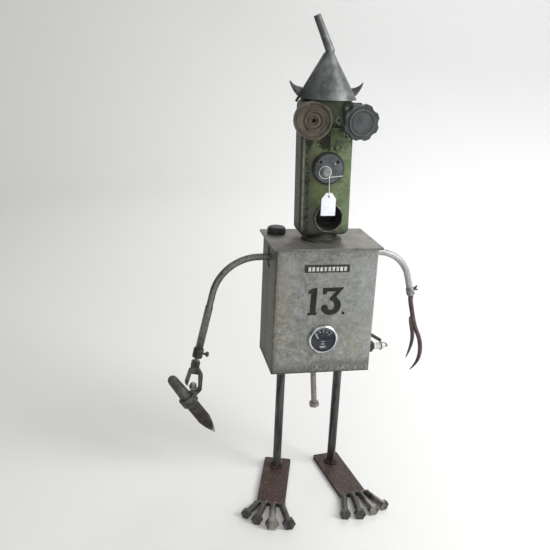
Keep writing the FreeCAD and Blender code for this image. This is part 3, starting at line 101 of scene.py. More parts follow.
# %% A socket that Python can calculate with
class Value:
    """One output of a finish's node; arithmetic on it adds Math nodes."""

    def __init__(self, finish, socket):
        self.finish, self.socket = finish, socket

    def math(self, operation, first, second=0.0):
        return self.finish.node("ShaderNodeMath", {"operation": operation}, {0: first, 1: second})

    def __add__(self, other):
        return self.math("ADD", self, other)

    def __radd__(self, other):
        return self.math("ADD", other, self)

    def __sub__(self, other):
        return self.math("SUBTRACT", self, other)

    def __rsub__(self, other):
        return self.math("SUBTRACT", other, self)

    def __mul__(self, other):
        return self.math("MULTIPLY", self, other)

    def __rmul__(self, other):
        return self.math("MULTIPLY", other, self)

    def __truediv__(self, other):
        return self.math("DIVIDE", self, other)

    def __abs__(self):
        return self.math("ABSOLUTE", self)

    def __pow__(self, power):
        return self.math("POWER", self, power)


# %% A finish
def shade(red, green, blue):
    """A colour as it looks on a screen, from 0 to 255, as the light the shader wants."""
    return tuple(((part / 255 + 0.055) / 1.055) ** 2.4 for part in (red, green, blue)) + (1,)


class Finish:
    """A material in the making: its nodes, its patterns and its surface."""

    def __init__(self, name):
        self.material = bpy.data.materials.new(name)
        self.material.use_nodes = True
        self.tree = self.material.node_tree
        self.tree.nodes.clear()
        self.at = self.node("ShaderNodeTexCoord", output="Object")
        split = self.node("ShaderNodeSeparateXYZ", inputs={0: self.at}, output="X")
        self.x, self.y, self.z = (Value(self, split.socket.node.outputs[axis]) for axis in "XYZ")
        self.normal = self.colour = None

    def node(self, kind, settings=None, inputs=None, output=0):
        """Adds a node: its settings first, then its inputs, and returns one output."""
        made = self.tree.nodes.new(kind)
        for name, setting in (settings or {}).items():
            setattr(made, name, setting)
        for name, value in (inputs or {}).items():
            named = [s for s in made.inputs if s.enabled and s.name == name]
            socket = made.inputs[name] if isinstance(name, int) else named[0]
            if isinstance(value, Value):
                self.tree.links.new(value.socket, socket)
            else:
                socket.default_value = value
        shown = [s for s in made.outputs if s.enabled and output in (0, s.name)]
        return Value(self, shown[0]) if shown else None

    def noise(self, scale, detail=4.0, rough=0.55, stretch=None, twist=0.0):
        """Cloudy pattern from 0 to 1; scale is in patches per metre."""
        at = self.stretched(stretch) if stretch else self.at
        return self.node("ShaderNodeTexNoise", None, {
            "Vector": at, "Scale": scale, "Detail": detail, "Roughness": rough,
            "Distortion": twist})

    def stretched(self, factors):
        return self.node("ShaderNodeVectorMath", {"operation": "MULTIPLY"},
                         {0: self.at, 1: factors})

    def cells(self, scale, feature="F1", output="Distance", stretch=None):
        """Cell pattern; scale is in cells per metre."""
        at = self.stretched(stretch) if stretch else self.at
        return self.node("ShaderNodeTexVoronoi", {"feature": feature},
                         {"Vector": at, "Scale": scale}, output)

    def smooth(self, value, low, high):
        """0 below low, 1 above high, and a soft step between them."""
        return self.node("ShaderNodeMapRange", {"interpolation_type": "SMOOTHSTEP"}, {
            "Value": value, "From Min": low, "From Max": high, "To Min": 0.0, "To Max": 1.0})

    def near(self, value, centre, reach):
        """1 where value is centre, fading to 0 at reach either side."""
        return 1 - self.smooth(abs(value - centre), 0.0, reach)

    def mix(self, mask, under, over):
        """Colour under, painted with colour over where mask is 1."""
        return self.node("ShaderNodeMix", {"data_type": "RGBA"},
                         {"Factor": mask, "A": under, "B": over})

    def ground(self, mask, under, over):
        """The first layer: colour under where mask is 0, and over where it is 1."""
        self.colour = self.mix(mask, shade(*under), shade(*over))

    def paint(self, mask, *over):
        """One more layer, where mask says: red, green, blue, or a colour worked out before."""
        tone = over[0] if isinstance(over[0], Value) else shade(*over)
        self.colour = self.mix(mask, self.colour, tone)

    def bump(self, height, depth, strength=1.0):
        """Raises the surface by height times depth metres, on top of what is there."""
        inputs = {"Height": height, "Distance": depth, "Strength": strength}
        if self.normal:
            inputs["Normal"] = self.normal
        self.normal = self.node("ShaderNodeBump", None, inputs)

    def surface(self, rough, metal, coat=0.0, **fixed):
        """Ends the finish in one Principled shader and returns the material."""
        inputs = {"Base Color": self.colour, "Roughness": rough, "Metallic": metal,
                  "Coat Weight": coat}
        inputs.update({name.replace("_", " "): value for name, value in fixed.items()})
        if self.normal:
            inputs["Normal"] = self.normal
        shader = self.node("ShaderNodeBsdfPrincipled", None, inputs)
        self.node("ShaderNodeOutputMaterial", None, {"Surface": shader})
        return self.material


# %% [markdown]
# ## The stage
# Metal shows what stands round it, so the figure stands in a wide pale bowl: a
# flat floor that turns up into a wall on every side, like paper in a studio.
# It is spun from one short profile. The bowl is dull, and its paper is painted
# darker towards the left and lighter towards the right, as painted light.

# %% Studio bowl
def linked(name, mesh):
    """A new object at the origin for a finished mesh."""
    made = bpy.data.objects.new(name, mesh)
    bpy.context.collection.objects.link(made)
    return made


def settled(name, shape, smooth=False):
    """Turns a shape being edited into an object, and closes the edit."""
    mesh = bpy.data.meshes.new(name)
    shape.to_mesh(mesh)
    shape.free()
    if smooth:
        mesh.shade_smooth()
    return linked(name, mesh)


def spin_bowl(name, profile, steps=96):
    """Spins (radius, height) points about the vertical into a bowl seen from inside."""
    shape = bmesh.new()
    rings = [[shape.verts.new((radius * math.cos(2 * math.pi * step / steps),
                               radius * math.sin(2 * math.pi * step / steps), height))
              for step in range(steps)] for radius, height in profile]
    for low, high in zip(rings, rings[1:]):
        for step in range(steps):
            near = (step + 1) % steps
            shape.faces.new((low[step], low[near], high[near], high[step]))
    shape.faces.new(rings[0])
    bmesh.ops.recalc_face_normals(shape, faces=shape.faces)
    return settled(name, shape, smooth=True)


BOWL_FLOOR, BOWL_BEND, BOWL_TOP = 3.2, 1.6, 4.2
bend = [(BOWL_FLOOR + BOWL_BEND * math.sin(angle), BOWL_BEND * (1 - math.cos(angle)))
        for angle in (math.radians(degrees) for degrees in range(0, 91, 6))]
bowl = spin_bowl("studio_bowl", [(1.2, 0)] + bend + [(BOWL_FLOOR + BOWL_BEND, BOWL_TOP)])
paper = Finish("studio_paper")
# Painted light: the paper goes from darker on the left to lighter on the right.
paper_painted_light = paper.smooth(paper.x + paper.noise(0.4, 2) * 0.2, -2.4, 2.6)
paper.ground(paper_painted_light, (206, 206, 203), (254, 254, 254))
bowl.data.materials.append(paper.surface(0.9, 0.0, Specular_IOR_Level=0.1))
print("bowl", len(bowl.data.polygons), "faces")

# %% [markdown]
# ## The light
# The room's light is broad and comes from the figure's left-hand side, so the
# right of each tube is bright and its left is dark, and the shadow on the floor
# is faint. A large key panel gives that and a weak sky fills the rest. Curved
# metal only looks dark on one side if something dark stands there to be
# mirrored, so a black card hangs to the left, as is usual in a studio.
# The camera is told not to show it.

# %% Lamps, card and sky
def panel(name, place, aim, size, power):
    """A soft square lamp at place that faces aim."""
    lamp = bpy.data.objects.new(name, bpy.data.lights.new(name, "AREA"))
    bpy.context.collection.objects.link(lamp)
    lamp.data.size, lamp.data.energy = size, power
    lamp.location = place
    lamp.rotation_euler = (Vector(aim) - Vector(place)).to_track_quat("-Z", "Y").to_euler()
    return lamp


def flat_mesh(name, corners):
    """One flat face through its corners."""
    mesh = bpy.data.meshes.new(name)
    mesh.from_pydata(corners, [], [range(len(corners))])
    return mesh


MIDDLE = (TORSO_X, TORSO_FRONT, 0.5)
panel("key_panel", (2.4, -1.5, 2.3), MIDDLE, 1.8, 74)
panel("front_fill", (-0.6, -3.0, 1.8), MIDDLE, 1.6, 16)
panel("back_light", (1.6, 2.6, 2.8), MIDDLE, 1.8, 34)
card = linked("black_card", flat_mesh("black_card", ((-2.2, -2.2, 0.3), (-2.2, 2.2, 0.3),
                                                     (-2.2, 2.2, 2.6), (-2.2, -2.2, 2.6))))
felt = Finish("black_felt")
felt.ground(felt.noise(3, 2), (24, 24, 25), (40, 40, 41))
card.data.materials.append(felt.surface(1.0, 0.0, Specular_IOR_Level=0.0))
card.visible_camera = False
card.visible_shadow = False
sky = bpy.data.worlds.new("sky")
sky.use_nodes = True
sky.node_tree.nodes["Background"].inputs["Color"].default_value = (1.0, 1.0, 1.0, 1)
sky.node_tree.nodes["Background"].inputs["Strength"].default_value = 0.75
bpy.context.scene.world = sky
print("3 lamps, a card and a sky")

# %% [markdown]
# ## One recipe for aged metal
# Most pieces are steel or zinc that has lain about. Close up they share the
# same layers: slow clouds of light and dark, finer blotches of stain, small
# specks, and a surface that is slightly pitted. The recipe takes the colours
# and the amounts, so the same few layers give plate, rubber, chrome and casting.
# Each row of the table holds them in the order that the recipe takes them.

# %% Aged metal
def aged_metal(name, dark, light, stain, stain_amount=0.5, patch=30, rough=0.5, metal=0.6,
               pit=0.15, speck=None, stretch=None):
    """Mottled metal: dark and light clouds, stained blotches, specks and fine pits."""
    made = Finish(name)
    cloud = made.noise(patch, 6, 0.6, stretch)
    grain = made.noise(patch * 14, 4, 0.6, stretch)
    blotch = made.noise(patch * 2.3, 5, 0.65, twist=0.6)
    made.ground(made.smooth(cloud, 0.35, 0.65), dark, light)
    stained = made.smooth(blotch + grain * 0.12, 0.6, 0.72) * stain_amount
    made.paint(stained, *stain)
    speckle = made.smooth(grain, 0.64, 0.72)
    made.paint(speckle * 0.5, *(speck or dark))
    roughness = rough - 0.1 * cloud + 0.12 * grain + stained * 0.2
    made.bump(grain, pit * MM)
    made.bump(made.noise(patch * 60, 3, 0.5, stretch), pit * 0.3 * MM)
    return made.surface(roughness, metal - stained * metal * 0.6)


AGED = {
    "lid_steel": ((98, 96, 90), (122, 120, 113), (84, 80, 72), 0.5, 16, 0.5, 0.55),
    "neck_iron": ((52, 56, 44), (84, 86, 72), (70, 52, 38), 0.5, 60, 0.6, 0.4),
    "leg_steel": ((34, 34, 35), (92, 92, 91), (70, 54, 44), 0.5, 90, 0.4, 0.55, 0.2,
        (150, 148, 144), (1, 1, 0.14)),
    "weld_steel": ((44, 34, 34), (78, 62, 60), (128, 120, 116), 0.5, 110, 0.42, 0.5, 0.3),
    "hand_iron": ((50, 50, 50), (92, 92, 90), (70, 56, 44), 0.5, 80, 0.45, 0.7, 0.25),
    "hand_bright": ((104, 104, 102), (158, 157, 152), (84, 70, 56), 0.5, 70, 0.38, 0.8, 0.15),
    "plug_iron": ((44, 43, 42), (80, 78, 74), (82, 62, 46), 0.5, 90, 0.5, 0.6, 0.2),
    "bracket_steel": ((40, 42, 38), (76, 80, 72), (60, 46, 34), 0.6, 60, 0.55, 0.45, 0.25),
    "clip_green": ((48, 58, 36), (84, 98, 62), (38, 34, 26), 0.7, 60, 0.5, 0.15, 0.15),
    "nose_black": ((26, 27, 28), (44, 46, 48), (60, 52, 44), 0.4, 70, 0.42, 0.1, 0.1),
    "nose_grey": ((70, 74, 78), (98, 102, 106), (52, 52, 52), 0.5, 60, 0.4, 0.4, 0.08),
    "knob_grey": ((110, 114, 112), (140, 143, 140), (86, 88, 86), 0.5, 80, 0.5, 0.2, 0.12),
    "horn_steel": ((64, 64, 64), (96, 97, 97), (58, 50, 44), 0.5, 50, 0.42, 0.65, 0.2),
    "badge_black": ((24, 24, 25), (42, 42, 43), (64, 60, 54), 0.5, 60, 0.35, 0.1, 0.08),
    "badge_chrome": ((170, 172, 170), (214, 215, 213), (120, 112, 100), 0.6, 90, 0.22, 0.95,
        0.05),
    "gauge_chrome": ((176, 178, 182), (216, 218, 221), (120, 116, 110), 0.4, 60, 0.14, 1.0,
        0.02),
    "gauge_case": ((36, 37, 40), (56, 57, 60), (70, 64, 56), 0.4, 60, 0.5, 0.3, 0.1),
    "filler_black": ((24, 24, 25), (44, 44, 45), (70, 68, 62), 0.3, 70, 0.5, 0.0, 0.12),
    "lead_rubber": ((26, 26, 26), (46, 45, 43), (70, 66, 60), 0.3, 90, 0.6, 0.0, 0.1),
    "toe_weld": ((70, 62, 58), (150, 144, 136), (60, 46, 40), 0.6, 120, 0.35, 0.6, 0.3),
    "claw_paint": ((62, 48, 50), (92, 74, 74), (120, 112, 108), 0.35, 50, 0.42, 0.3, 0.2,
        (140, 132, 126)),
}
FINISHES = {name: aged_metal(name, *layers) for name, layers in AGED.items()}
print(len(FINISHES), "finishes from the one recipe")

# %% [markdown]
# ## The galvanised box
# Old zinc sheet is mottled grey with faint crystal flakes. This box is also
# stained: dark along its bottom edge with a row of light scratches, olive in
# blotches round the gauge, peppered with specks along its top, and rusty down
# one front edge. Those marks belong to places on the box, so the finish first
# works out how far across and how far up the front each point is, as 0 to 1.

# %% Galvanised box
def across(made, node, axis):
    """How far along one of a node's sides each point lies, from 0 to 1."""
    low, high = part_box(node)
    place = {"x": (made.x, low.x, high.x), "y": (made.y, low.y, high.y),
             "z": (made.z, low.z, high.z)}[axis]
    return (place[0] - place[1]) / (place[2] - place[1])


def spot(made, horizontal, vertical, centre, reach):
    """1 in an oval round centre, fading to 0 at reach."""
    far = ((horizontal - centre[0]) / reach[0]) ** 2 + ((vertical - centre[1]) / reach[1]) ** 2
    return 1 - made.smooth(far, 0.0, 1.0)


def galvanised_box():
    made = Finish("box_zinc")
    side, height = across(made, "front_tray", "x"), across(made, "front_tray", "z")
    front = 1 - made.smooth(made.y, TORSO_FRONT + 1 * MM, TORSO_FRONT + 4 * MM)
    cloud, grain = made.noise(26, 7, 0.7, twist=0.4), made.noise(260, 6, 0.7)
    wisp, crust = made.noise(75, 8, 0.75, twist=0.9), made.noise(140, 8, 0.8, twist=0.5)
    made.ground(made.smooth(cloud * 0.5 + wisp * 0.5, 0.38, 0.62), (98, 100, 96), (140, 142, 138))
    # Painted light: the front goes lighter towards the right, where the lamp is.
    made.paint(made.smooth(side + wisp * 0.2, 0.6, 1.1) * 0.5, 160, 163, 160)
    flakes = made.node("ShaderNodeSeparateColor",
                       inputs={"Color": made.cells(150, output="Color")}, output="Red")
    made.paint(flakes * 0.24, 168, 172, 172)
    olive = (spot(made, side, height, (0.8, 0.3), (0.24, 0.3)) * 0.8
             + spot(made, side, height, (0.05, 0.52), (0.2, 0.6)) * 0.9
             + spot(made, side, height, (0.34, 0.2), (0.3, 0.2)) * 0.6) * front
    olive_mask = made.smooth(olive * 0.3 + crust, 0.6, 0.8) * made.smooth(olive, 0.0, 0.25)
    made.paint(olive_mask * 0.42, 118, 112, 84)
    pale = made.smooth(crust, 0.53, 0.62) * (0.25 + 0.55 * made.smooth(height, 0.62, 0.15))
    made.paint(pale * front, 172, 171, 162)
    fog = made.smooth(1 - crust, 0.5, 0.62) * 0.4
    made.paint(fog, 92, 94, 90)
    foot = made.smooth(wisp * 0.12 + (1 - height) + side * 0.04, 0.95, 1.05)
    made.paint(foot * 0.7, 72, 71, 68)
    scrape = made.smooth(made.noise(240, 6, 0.8, (1, 1, 0.5)), 0.5, 0.6)
    scrape_band = made.near(height + side * 0.015, 0.05, 0.04) * made.smooth(side, 0.05, 0.6)
    made.paint(scrape * scrape_band * 0.8, 176, 176, 170)
    hem = 1 - made.smooth(height + wisp * 0.01, 0.008, 0.018)
    made.paint(hem * 0.8, 48, 46, 43)
    pepper = made.smooth(grain, 0.54, 0.62) * made.smooth(height, 0.86, 0.985)
    made.paint(pepper * 0.85, 58, 54, 48)
    specks = made.smooth(made.noise(360, 5, 0.65), 0.6, 0.66)
    made.paint(specks * 0.6, 80, 78, 72)
    chalk = made.smooth(made.noise(260, 6, 0.7) + olive * 0.03, 0.62, 0.67) * front
    made.paint(chalk * 0.75, 186, 186, 176)
    line = made.near(side, 0.004, 0.016) * made.smooth(height, 0.3, 0.7) * front
    made.paint(line * made.smooth(wisp, 0.3, 0.55), 84, 44, 34)
    edge = made.near(side, 0.0, 0.06) * made.smooth(wisp, 0.25, 0.6) * 0.75
    made.paint(edge, 66, 63, 58)
    flank = (1 - front) * (1 - made.smooth(side, 0.0, 0.04))
    tan = made.mix(made.smooth(wisp, 0.35, 0.6), shade(68, 66, 57), shade(94, 91, 80))
    made.paint(flank * 0.92, tan)
    back_half = made.smooth(made.y, TORSO_SEAM, TORSO_SEAM + 6 * MM) * flank
    made.paint(back_half * 0.45, 78, 72, 60)
    fold = (made.near(made.y, TORSO_SEAM, 3.4 * MM)
            + made.near(made.y, TORSO_FRONT + 9 * MM, 2.2 * MM) * 0.7) * (1 - front)
    made.paint(made.smooth(fold, 0.1, 0.6), 34, 30, 25)
    dents = made.noise(11, 2, 0.4)
    made.bump(dents, 8 * MM, 0.4)
    made.bump(1 - fold, 0.8 * MM)
    made.bump(crust, 0.25 * MM, 0.7)
    made.bump(grain, 0.12 * MM)
    rough = 0.44 + crust * 0.2 - flakes * 0.06 + foot * 0.15
    return made.surface(rough, 0.5 - olive_mask * 0.3 - foot * 0.2)


FINISHES["box_zinc"] = galvanised_box()
print("box finish has", len(FINISHES["box_zinc"].node_tree.nodes), "nodes")

# %% [markdown]
# ## Chipped green paint
# The fuel can's paint has gone uneven: olive where it yellowed, and chipped to
# dark metal near edges and round the things screwed to it. Light and shade are
# painted on as well: the base goes lighter towards the right, the can is darker
# down its left side, under the funnel's rim, beside the nose and towards the
# bottom, and a painted highlight runs down the front-left corner. Chips are
# hard-edged, so their mask comes from fine noise cut off sharply, and only where
# a second, wider mask allows it. The can leans a little, so the finish measures
# across it along the lean. It also finds the inside of the can by its distance
# in from every side, and paints it near black as shade.

# %% Green can
CAN_LEAN = math.radians(1.5)


def green_can():
    made = Finish("can_green")
    low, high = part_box("head_can")
    height = across(made, "head_can", "z")
    upright = made.x + (made.z - low.z) * math.tan(CAN_LEAN)
    left = low.x + (high.z - low.z) * math.tan(CAN_LEAN)
    side = (upright - left) / (high.x - left)
    front = 1 - made.smooth(made.y, low.y + 10 * MM, low.y + 16 * MM)
    cloud, fine = made.noise(24, 6, 0.65), made.noise(300, 6, 0.75)
    wisp, crust = made.noise(60, 7, 0.75, twist=1.0), made.noise(110, 8, 0.8, twist=0.6)
    # The base colour is random clouds, lighter towards the right as painted light.
    made.ground(made.smooth(cloud + side * 0.3, 0.45, 0.85), (58, 71, 42), (100, 118, 81))
    olive = (spot(made, side, height, (0.3, 0.62), (0.34, 0.17))
             + spot(made, side, height, (0.36, 0.37), (0.34, 0.13)))
    olive_mask = made.smooth(olive * 0.7 + wisp, 0.7, 1.05) * front
    made.paint(olive_mask * 0.7, 84, 94, 46)
    dirt = made.smooth(crust, 0.5, 0.66) * 0.5
    made.paint(dirt, 54, 64, 42)
    # Painted shade: darker under the funnel's rim, down the left side, beside the nose and along
    # the bottom.
    painted_shade = (spot(made, side, height, (0.5, 0.86), (0.5, 0.2))
             + spot(made, side, height, (0.0, 0.5), (0.36, 0.75)) * 0.8
             + spot(made, side, height, (0.3, 0.06), (0.6, 0.2))
             + spot(made, side, height, (0.42, 0.5), (0.38, 0.15)) * 0.7)
    painted_shade_mask = made.smooth(painted_shade * 0.6 + wisp * 0.8, 0.45, 0.95)
    made.paint(painted_shade_mask * 0.62, 40, 38, 28)
    chalky = made.smooth(1 - crust, 0.5, 0.62) * 0.3 * made.smooth(side, 0.3, 0.8)
    made.paint(chalky, 134, 146, 120)
    shadow = made.smooth(1 - height + wisp * 0.08, 0.93, 1.03)
    made.paint(shadow * 0.75, 36, 40, 28)
    grime = made.smooth(made.noise(36, 6, 0.7) - height * 0.05 - side * 0.1, 0.42, 0.6)
    made.paint(grime * 0.4, 36, 44, 28)
    # Painted shade: the can's left side is painted darker, away from the lamp.
    flank = 1 - made.smooth(upright, left + 1 * MM, left + 4 * MM)
    made.paint(flank * 0.7, 50, 56, 42)
    # A painted highlight: a pale line down the rounded front-left corner.
    streak = made.near(upright, left + 5 * MM, 2.6 * MM) * front * made.smooth(crust, 0.38, 0.55)
    made.paint(streak * 0.6 * made.smooth(height, 0.04, 0.1), 140, 147, 130)
    near_edges = (made.near(side, 0.13, 0.12) * front * 1.3 + made.near(height, 0.0, 0.07) * 1.5
                  + spot(made, side, height, (0.68, 0.74), (0.5, 0.2)) * front * 1.2
                  + spot(made, side, height, (0.34, 0.7), (0.3, 0.1)) * front * 0.8
                  + made.near(side, 1.0, 0.08) * front * 0.7)
    flecks = made.noise(190, 8, 0.8, twist=0.8)
    chips = made.smooth(flecks * 0.6 + crust * 0.4 + near_edges * 0.12 + fine * 0.08, 0.68, 0.7)
    made.paint(chips, 36, 32, 26)
    dots = made.smooth(made.noise(170, 3, 0.6), 0.68, 0.7)
    made.paint(dots * 0.8, 34, 31, 25)
    # Painted shade: the inside of the can is painted near black.
    painted_shade_inside = 1.0
    for place, near, far, skin in ((upright, left, high.x, 0.6 * MM),
                                   (made.y, low.y, high.y, 0.6 * MM),
                                   (made.z, low.z, high.z, 15 * MM)):
        painted_shade_inside = (made.smooth(place, near + skin, near + skin + 0.6 * MM)
                * (1 - made.smooth(place, far - skin - 0.6 * MM, far - skin)) * painted_shade_inside)
    made.paint(painted_shade_inside, 18, 18, 15)
    made.bump(made.noise(18, 2), 3 * MM, 0.35)
    made.bump(1 - chips, 0.25 * MM)
    made.bump(crust, 0.15 * MM, 0.6)
    return made.surface(0.42 + wisp * 0.2 + chips * 0.15, chips * 0.4,
                        0.12 - chips * 0.12, Coat_Roughness=0.35)


FINISHES["can_green"] = green_can()
print("can finish has", len(FINISHES["can_green"].node_tree.nodes), "nodes")

# %% [markdown]
# ## Funnel, plates and forged pieces
# The funnel was rolled from zinc sheet, so its marks run down its slope. The
# foot plates are coated in red-brown oxide that has scuffed along the edges.
# The pointed bar is forged: dark and brown where it was heated, and ground
# bright at its tip.

# %% Funnel zinc
def rolled_zinc():
    made = Finish("funnel_zinc")
    low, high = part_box("funnel_cone")
    middle_x = (low.x + high.x) / 2
    cloud, fine = made.noise(28, 6, 0.6), made.noise(300, 5, 0.6)
    streak = made.noise(110, 4, 0.6, (1, 1, 0.12))
    made.ground(made.smooth(cloud + streak * 0.4, 0.5, 0.9), (80, 83, 81), (130, 134, 131))
    rim = made.near(made.z, low.z, 7 * MM) * made.smooth(fine, 0.35, 0.6)
    made.paint(rim * 0.6, 70, 70, 68)
    drips = made.smooth(streak, 0.6, 0.72)
    made.paint(drips * 0.35, 74, 76, 74)
    # Painted shade: the funnel's left half is painted darker, on the side away from the lamp.
    shaded = 1 - made.smooth(made.x, low.x, middle_x)
    made.paint(shaded * (0.5 + made.smooth(cloud, 0.3, 0.6) * 0.4), 52, 54, 52)
    specks = made.smooth(fine, 0.64, 0.7)
    made.paint(specks * 0.5, 80, 78, 72)
    made.bump(made.noise(30, 3), 1.2 * MM, 0.3)
    made.bump(fine, 0.08 * MM)
    return made.surface(0.36 + fine * 0.16 + drips * 0.1, 0.75)


FINISHES["funnel_zinc"] = rolled_zinc()


# %% Oxide plate and forged bar
def oxide_plate():
    made = Finish("oxide_plate")
    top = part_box("left_foot_plate")[1].z
    fine, wisp = made.noise(280, 5, 0.65), made.noise(50, 6, 0.7, twist=0.8)
    right = made.smooth(made.x, TORSO_X - 10 * MM, TORSO_X + 10 * MM)
    coat = made.mix(right, shade(56, 37, 30), shade(62, 51, 47))
    made.colour = coat
    made.paint(made.smooth(wisp, 0.35, 0.7), 45, 32, 27)
    grey = made.smooth(made.noise(34, 5, 0.7), 0.5, 0.68)
    made.paint(grey * 0.2, 84, 76, 73)
    scuff = made.smooth(fine, 0.66, 0.72)
    made.paint(scuff * 0.25, 104, 92, 84)
    rim = made.near(made.z, top, 2 * MM) * made.smooth(fine, 0.45, 0.6) * 0.3
    made.paint(rim, 128, 110, 100)
    made.bump(fine, 0.03 * MM)
    made.bump(wisp, 0.2 * MM, 0.4)
    return made.surface(0.55 + fine * 0.1 - grey * 0.1, scuff * 0.2,
                        Specular_IOR_Level=0.25)


def forged_bar():
    made = Finish("bar_steel")
    low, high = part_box("pointed_bar")
    along = ((made.x - low.x) / (high.x - low.x) + (high.z - made.z) / (high.z - low.z)) * 0.5
    fine, wisp = made.noise(220, 5, 0.65), made.noise(60, 6, 0.7, twist=0.9)
    upper = made.mix(made.smooth(wisp, 0.35, 0.65), shade(58, 57, 55), shade(96, 94, 90))
    lower = made.mix(made.smooth(wisp, 0.4, 0.65), shade(36, 34, 33), shade(66, 60, 57))
    made.colour = made.mix(made.smooth(along + wisp * 0.1, 0.45, 0.6), upper, lower)
    tip = made.smooth(along, 0.9, 0.96)
    made.paint(tip, 178, 172, 162)
    scale = made.smooth(fine, 0.6, 0.66)
    made.paint(scale * 0.5, 120, 112, 102)
    made.bump(fine, 0.3 * MM)
    made.bump(wisp, 0.8 * MM, 0.5)
    return made.surface(0.5 - tip * 0.2 + fine * 0.1, 0.55 + tip * 0.3)


FINISHES["oxide_plate"] = oxide_plate()
FINISHES["bar_steel"] = forged_bar()
print("funnel, plates and bar")

# %% [markdown]
# ## Bolts that don't match
# The toe bolts are odd ones from a tin: most are dark, one on the left foot is
# pale where its plating held, and two on the right are half bright. The long
# bolt under the box is pale too. All share one slot, so the finish finds each
# bolt by the box of its own solid.

# %% Toe and tail bolts
def islands(node):
    """The box of each separate solid in a node, from left to right."""
    shape = bmesh.new()
    shape.from_mesh(NODES[node].data)
    bmesh.ops.remove_doubles(shape, verts=shape.verts, dist=0.001 * MM)
    left, found = set(shape.verts), []
    while left:
        group, edge = set(), [left.pop()]
        while edge:
            corner = edge.pop()
            group.add(corner)
            for side in corner.link_edges:
                other = side.other_vert(corner)
                if other in left:
                    left.remove(other)
                    edge.append(other)
        low = Vector([min(corner.co[i] for corner in group) for i in range(3)])
        high = Vector([max(corner.co[i] for corner in group) for i in range(3)])
        found.append((low, high))
    shape.free()
    return sorted(found, key=lambda box: box[0].x + box[1].x)


def odd_bolts():
    made = Finish("bolt_steel")
    fine, wisp = made.noise(900, 4, 0.6), made.noise(160, 6, 0.7, twist=0.5)
    made.ground(made.smooth(wisp, 0.35, 0.65), (46, 45, 44), (96, 93, 89))
    pale = made.smooth(made.z, 120 * MM, 140 * MM) * 0.8
    for node, place, amount in (("left_toe_bolts", 2, 1.0), ("right_toe_bolts", 2, 0.55),
                                ("right_toe_bolts", 3, 0.5)):
        low, high = islands(node)[place]
        middle = (low + high) / 2
        pale = pale + spot(made, made.x, made.y, (middle.x, low.y + 18 * MM),
                           (14 * MM, 34 * MM)) * amount
    plating = made.mix(made.smooth(wisp, 0.3, 0.6), shade(112, 108, 102), shade(160, 153, 145))
    made.paint(made.smooth(pale, 0.05, 0.6) * 0.85, plating)
    rust = made.smooth(made.noise(220, 5, 0.7), 0.6, 0.68)
    made.paint(rust * 0.5, 82, 62, 48)
    made.bump(fine, 0.2 * MM)
    return made.surface(0.42 + rust * 0.2, 0.6)


FINISHES["bolt_steel"] = odd_bolts()
print([len(islands(node)) for node in ("left_toe_bolts", "right_toe_bolts")], "bolts")

# %% [markdown]
# ## The two arm pipes
# Both arms are zinc pipe. The left one has gone dull and streaky. The right one
# is painted pale, nearly white, as painted light from the lamp on that side. The
# mouth's ring is bright only on its lip: inside it, the tube is painted near
# black as shade.

# %% Pipes and mouth
def from_centre(made, node):
    """Distance in metres of each point from a round node's centre, seen from the front."""
    low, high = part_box(node)
    middle = (low + high) / 2
    return (((made.x - middle.x) ** 2) + ((made.z - middle.z) ** 2)) ** 0.5


def arm_pipes():
    made = Finish("pipe_zinc")
    ferrule_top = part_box("claw_ferrule")[1].z
    fine, wisp = made.noise(600, 5, 0.65), made.noise(240, 7, 0.7, (1, 1, 0.6), 0.5)
    # Painted light: the right pipe is painted pale, on the lamp's side; the left keeps the dull
    # colour.
    right = made.smooth(made.x, TORSO_X, TORSO_X + 60 * MM)
    dull = made.mix(made.smooth(wisp, 0.3, 0.7), shade(88, 88, 86), shade(134, 134, 131))
    pale = made.mix(made.smooth(wisp, 0.3, 0.7), shade(140, 143, 140), shade(186, 189, 186))
    made.colour = made.mix(right, dull, pale)
    ferrule = right * (1 - made.smooth(made.z, ferrule_top - 1 * MM, ferrule_top + 1 * MM))
    made.paint(ferrule * made.smooth(wisp, 0.42, 0.56) * 0.8, 74, 74, 70)
    specks = made.smooth(fine, 0.6, 0.66) * (0.6 - right * 0.3)
    made.paint(specks, 66, 64, 58)
    made.bump(fine, 0.12 * MM)
    return made.surface(0.36 + fine * 0.12, 0.7 - right * 0.1)


def shaded_mouth_ring():
    made = Finish("mouth_lip")
    low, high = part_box("mouth_ring")
    fine, wisp = made.noise(500, 5, 0.65), made.noise(90, 6, 0.7, twist=0.5)
    made.ground(made.smooth(wisp, 0.35, 0.65), (84, 86, 76), (140, 142, 130))
    # Painted shade: inside the lip the tube is painted near black.
    painted_shade_bore = (1 - made.smooth(from_centre(made, "mouth_ring"), (high.x - low.x) / 2 - 3.4 * MM,
                              (high.x - low.x) / 2 - 1.6 * MM))
    made.paint(painted_shade_bore * 0.97, 14, 14, 13)
    grime = made.smooth(fine, 0.56, 0.64)
    made.paint(grime * 0.5, 46, 44, 36)
    made.bump(fine, 0.15 * MM)
    return made.surface(0.42 + painted_shade_bore * 0.4, 0.6 - painted_shade_bore * 0.6)


FINISHES["pipe_zinc"] = arm_pipes()
FINISHES["mouth_lip"] = shaded_mouth_ring()
print("pipes and mouth ring")

# %% [markdown]
# ## The two eyes
# The left eye is a rusty lid turned in rings, and the right eye is a moulded
# knob in dark plastic. Rings are a pattern of distance from the eye's own
# centre, so the finish measures that distance and sends it through a wave.

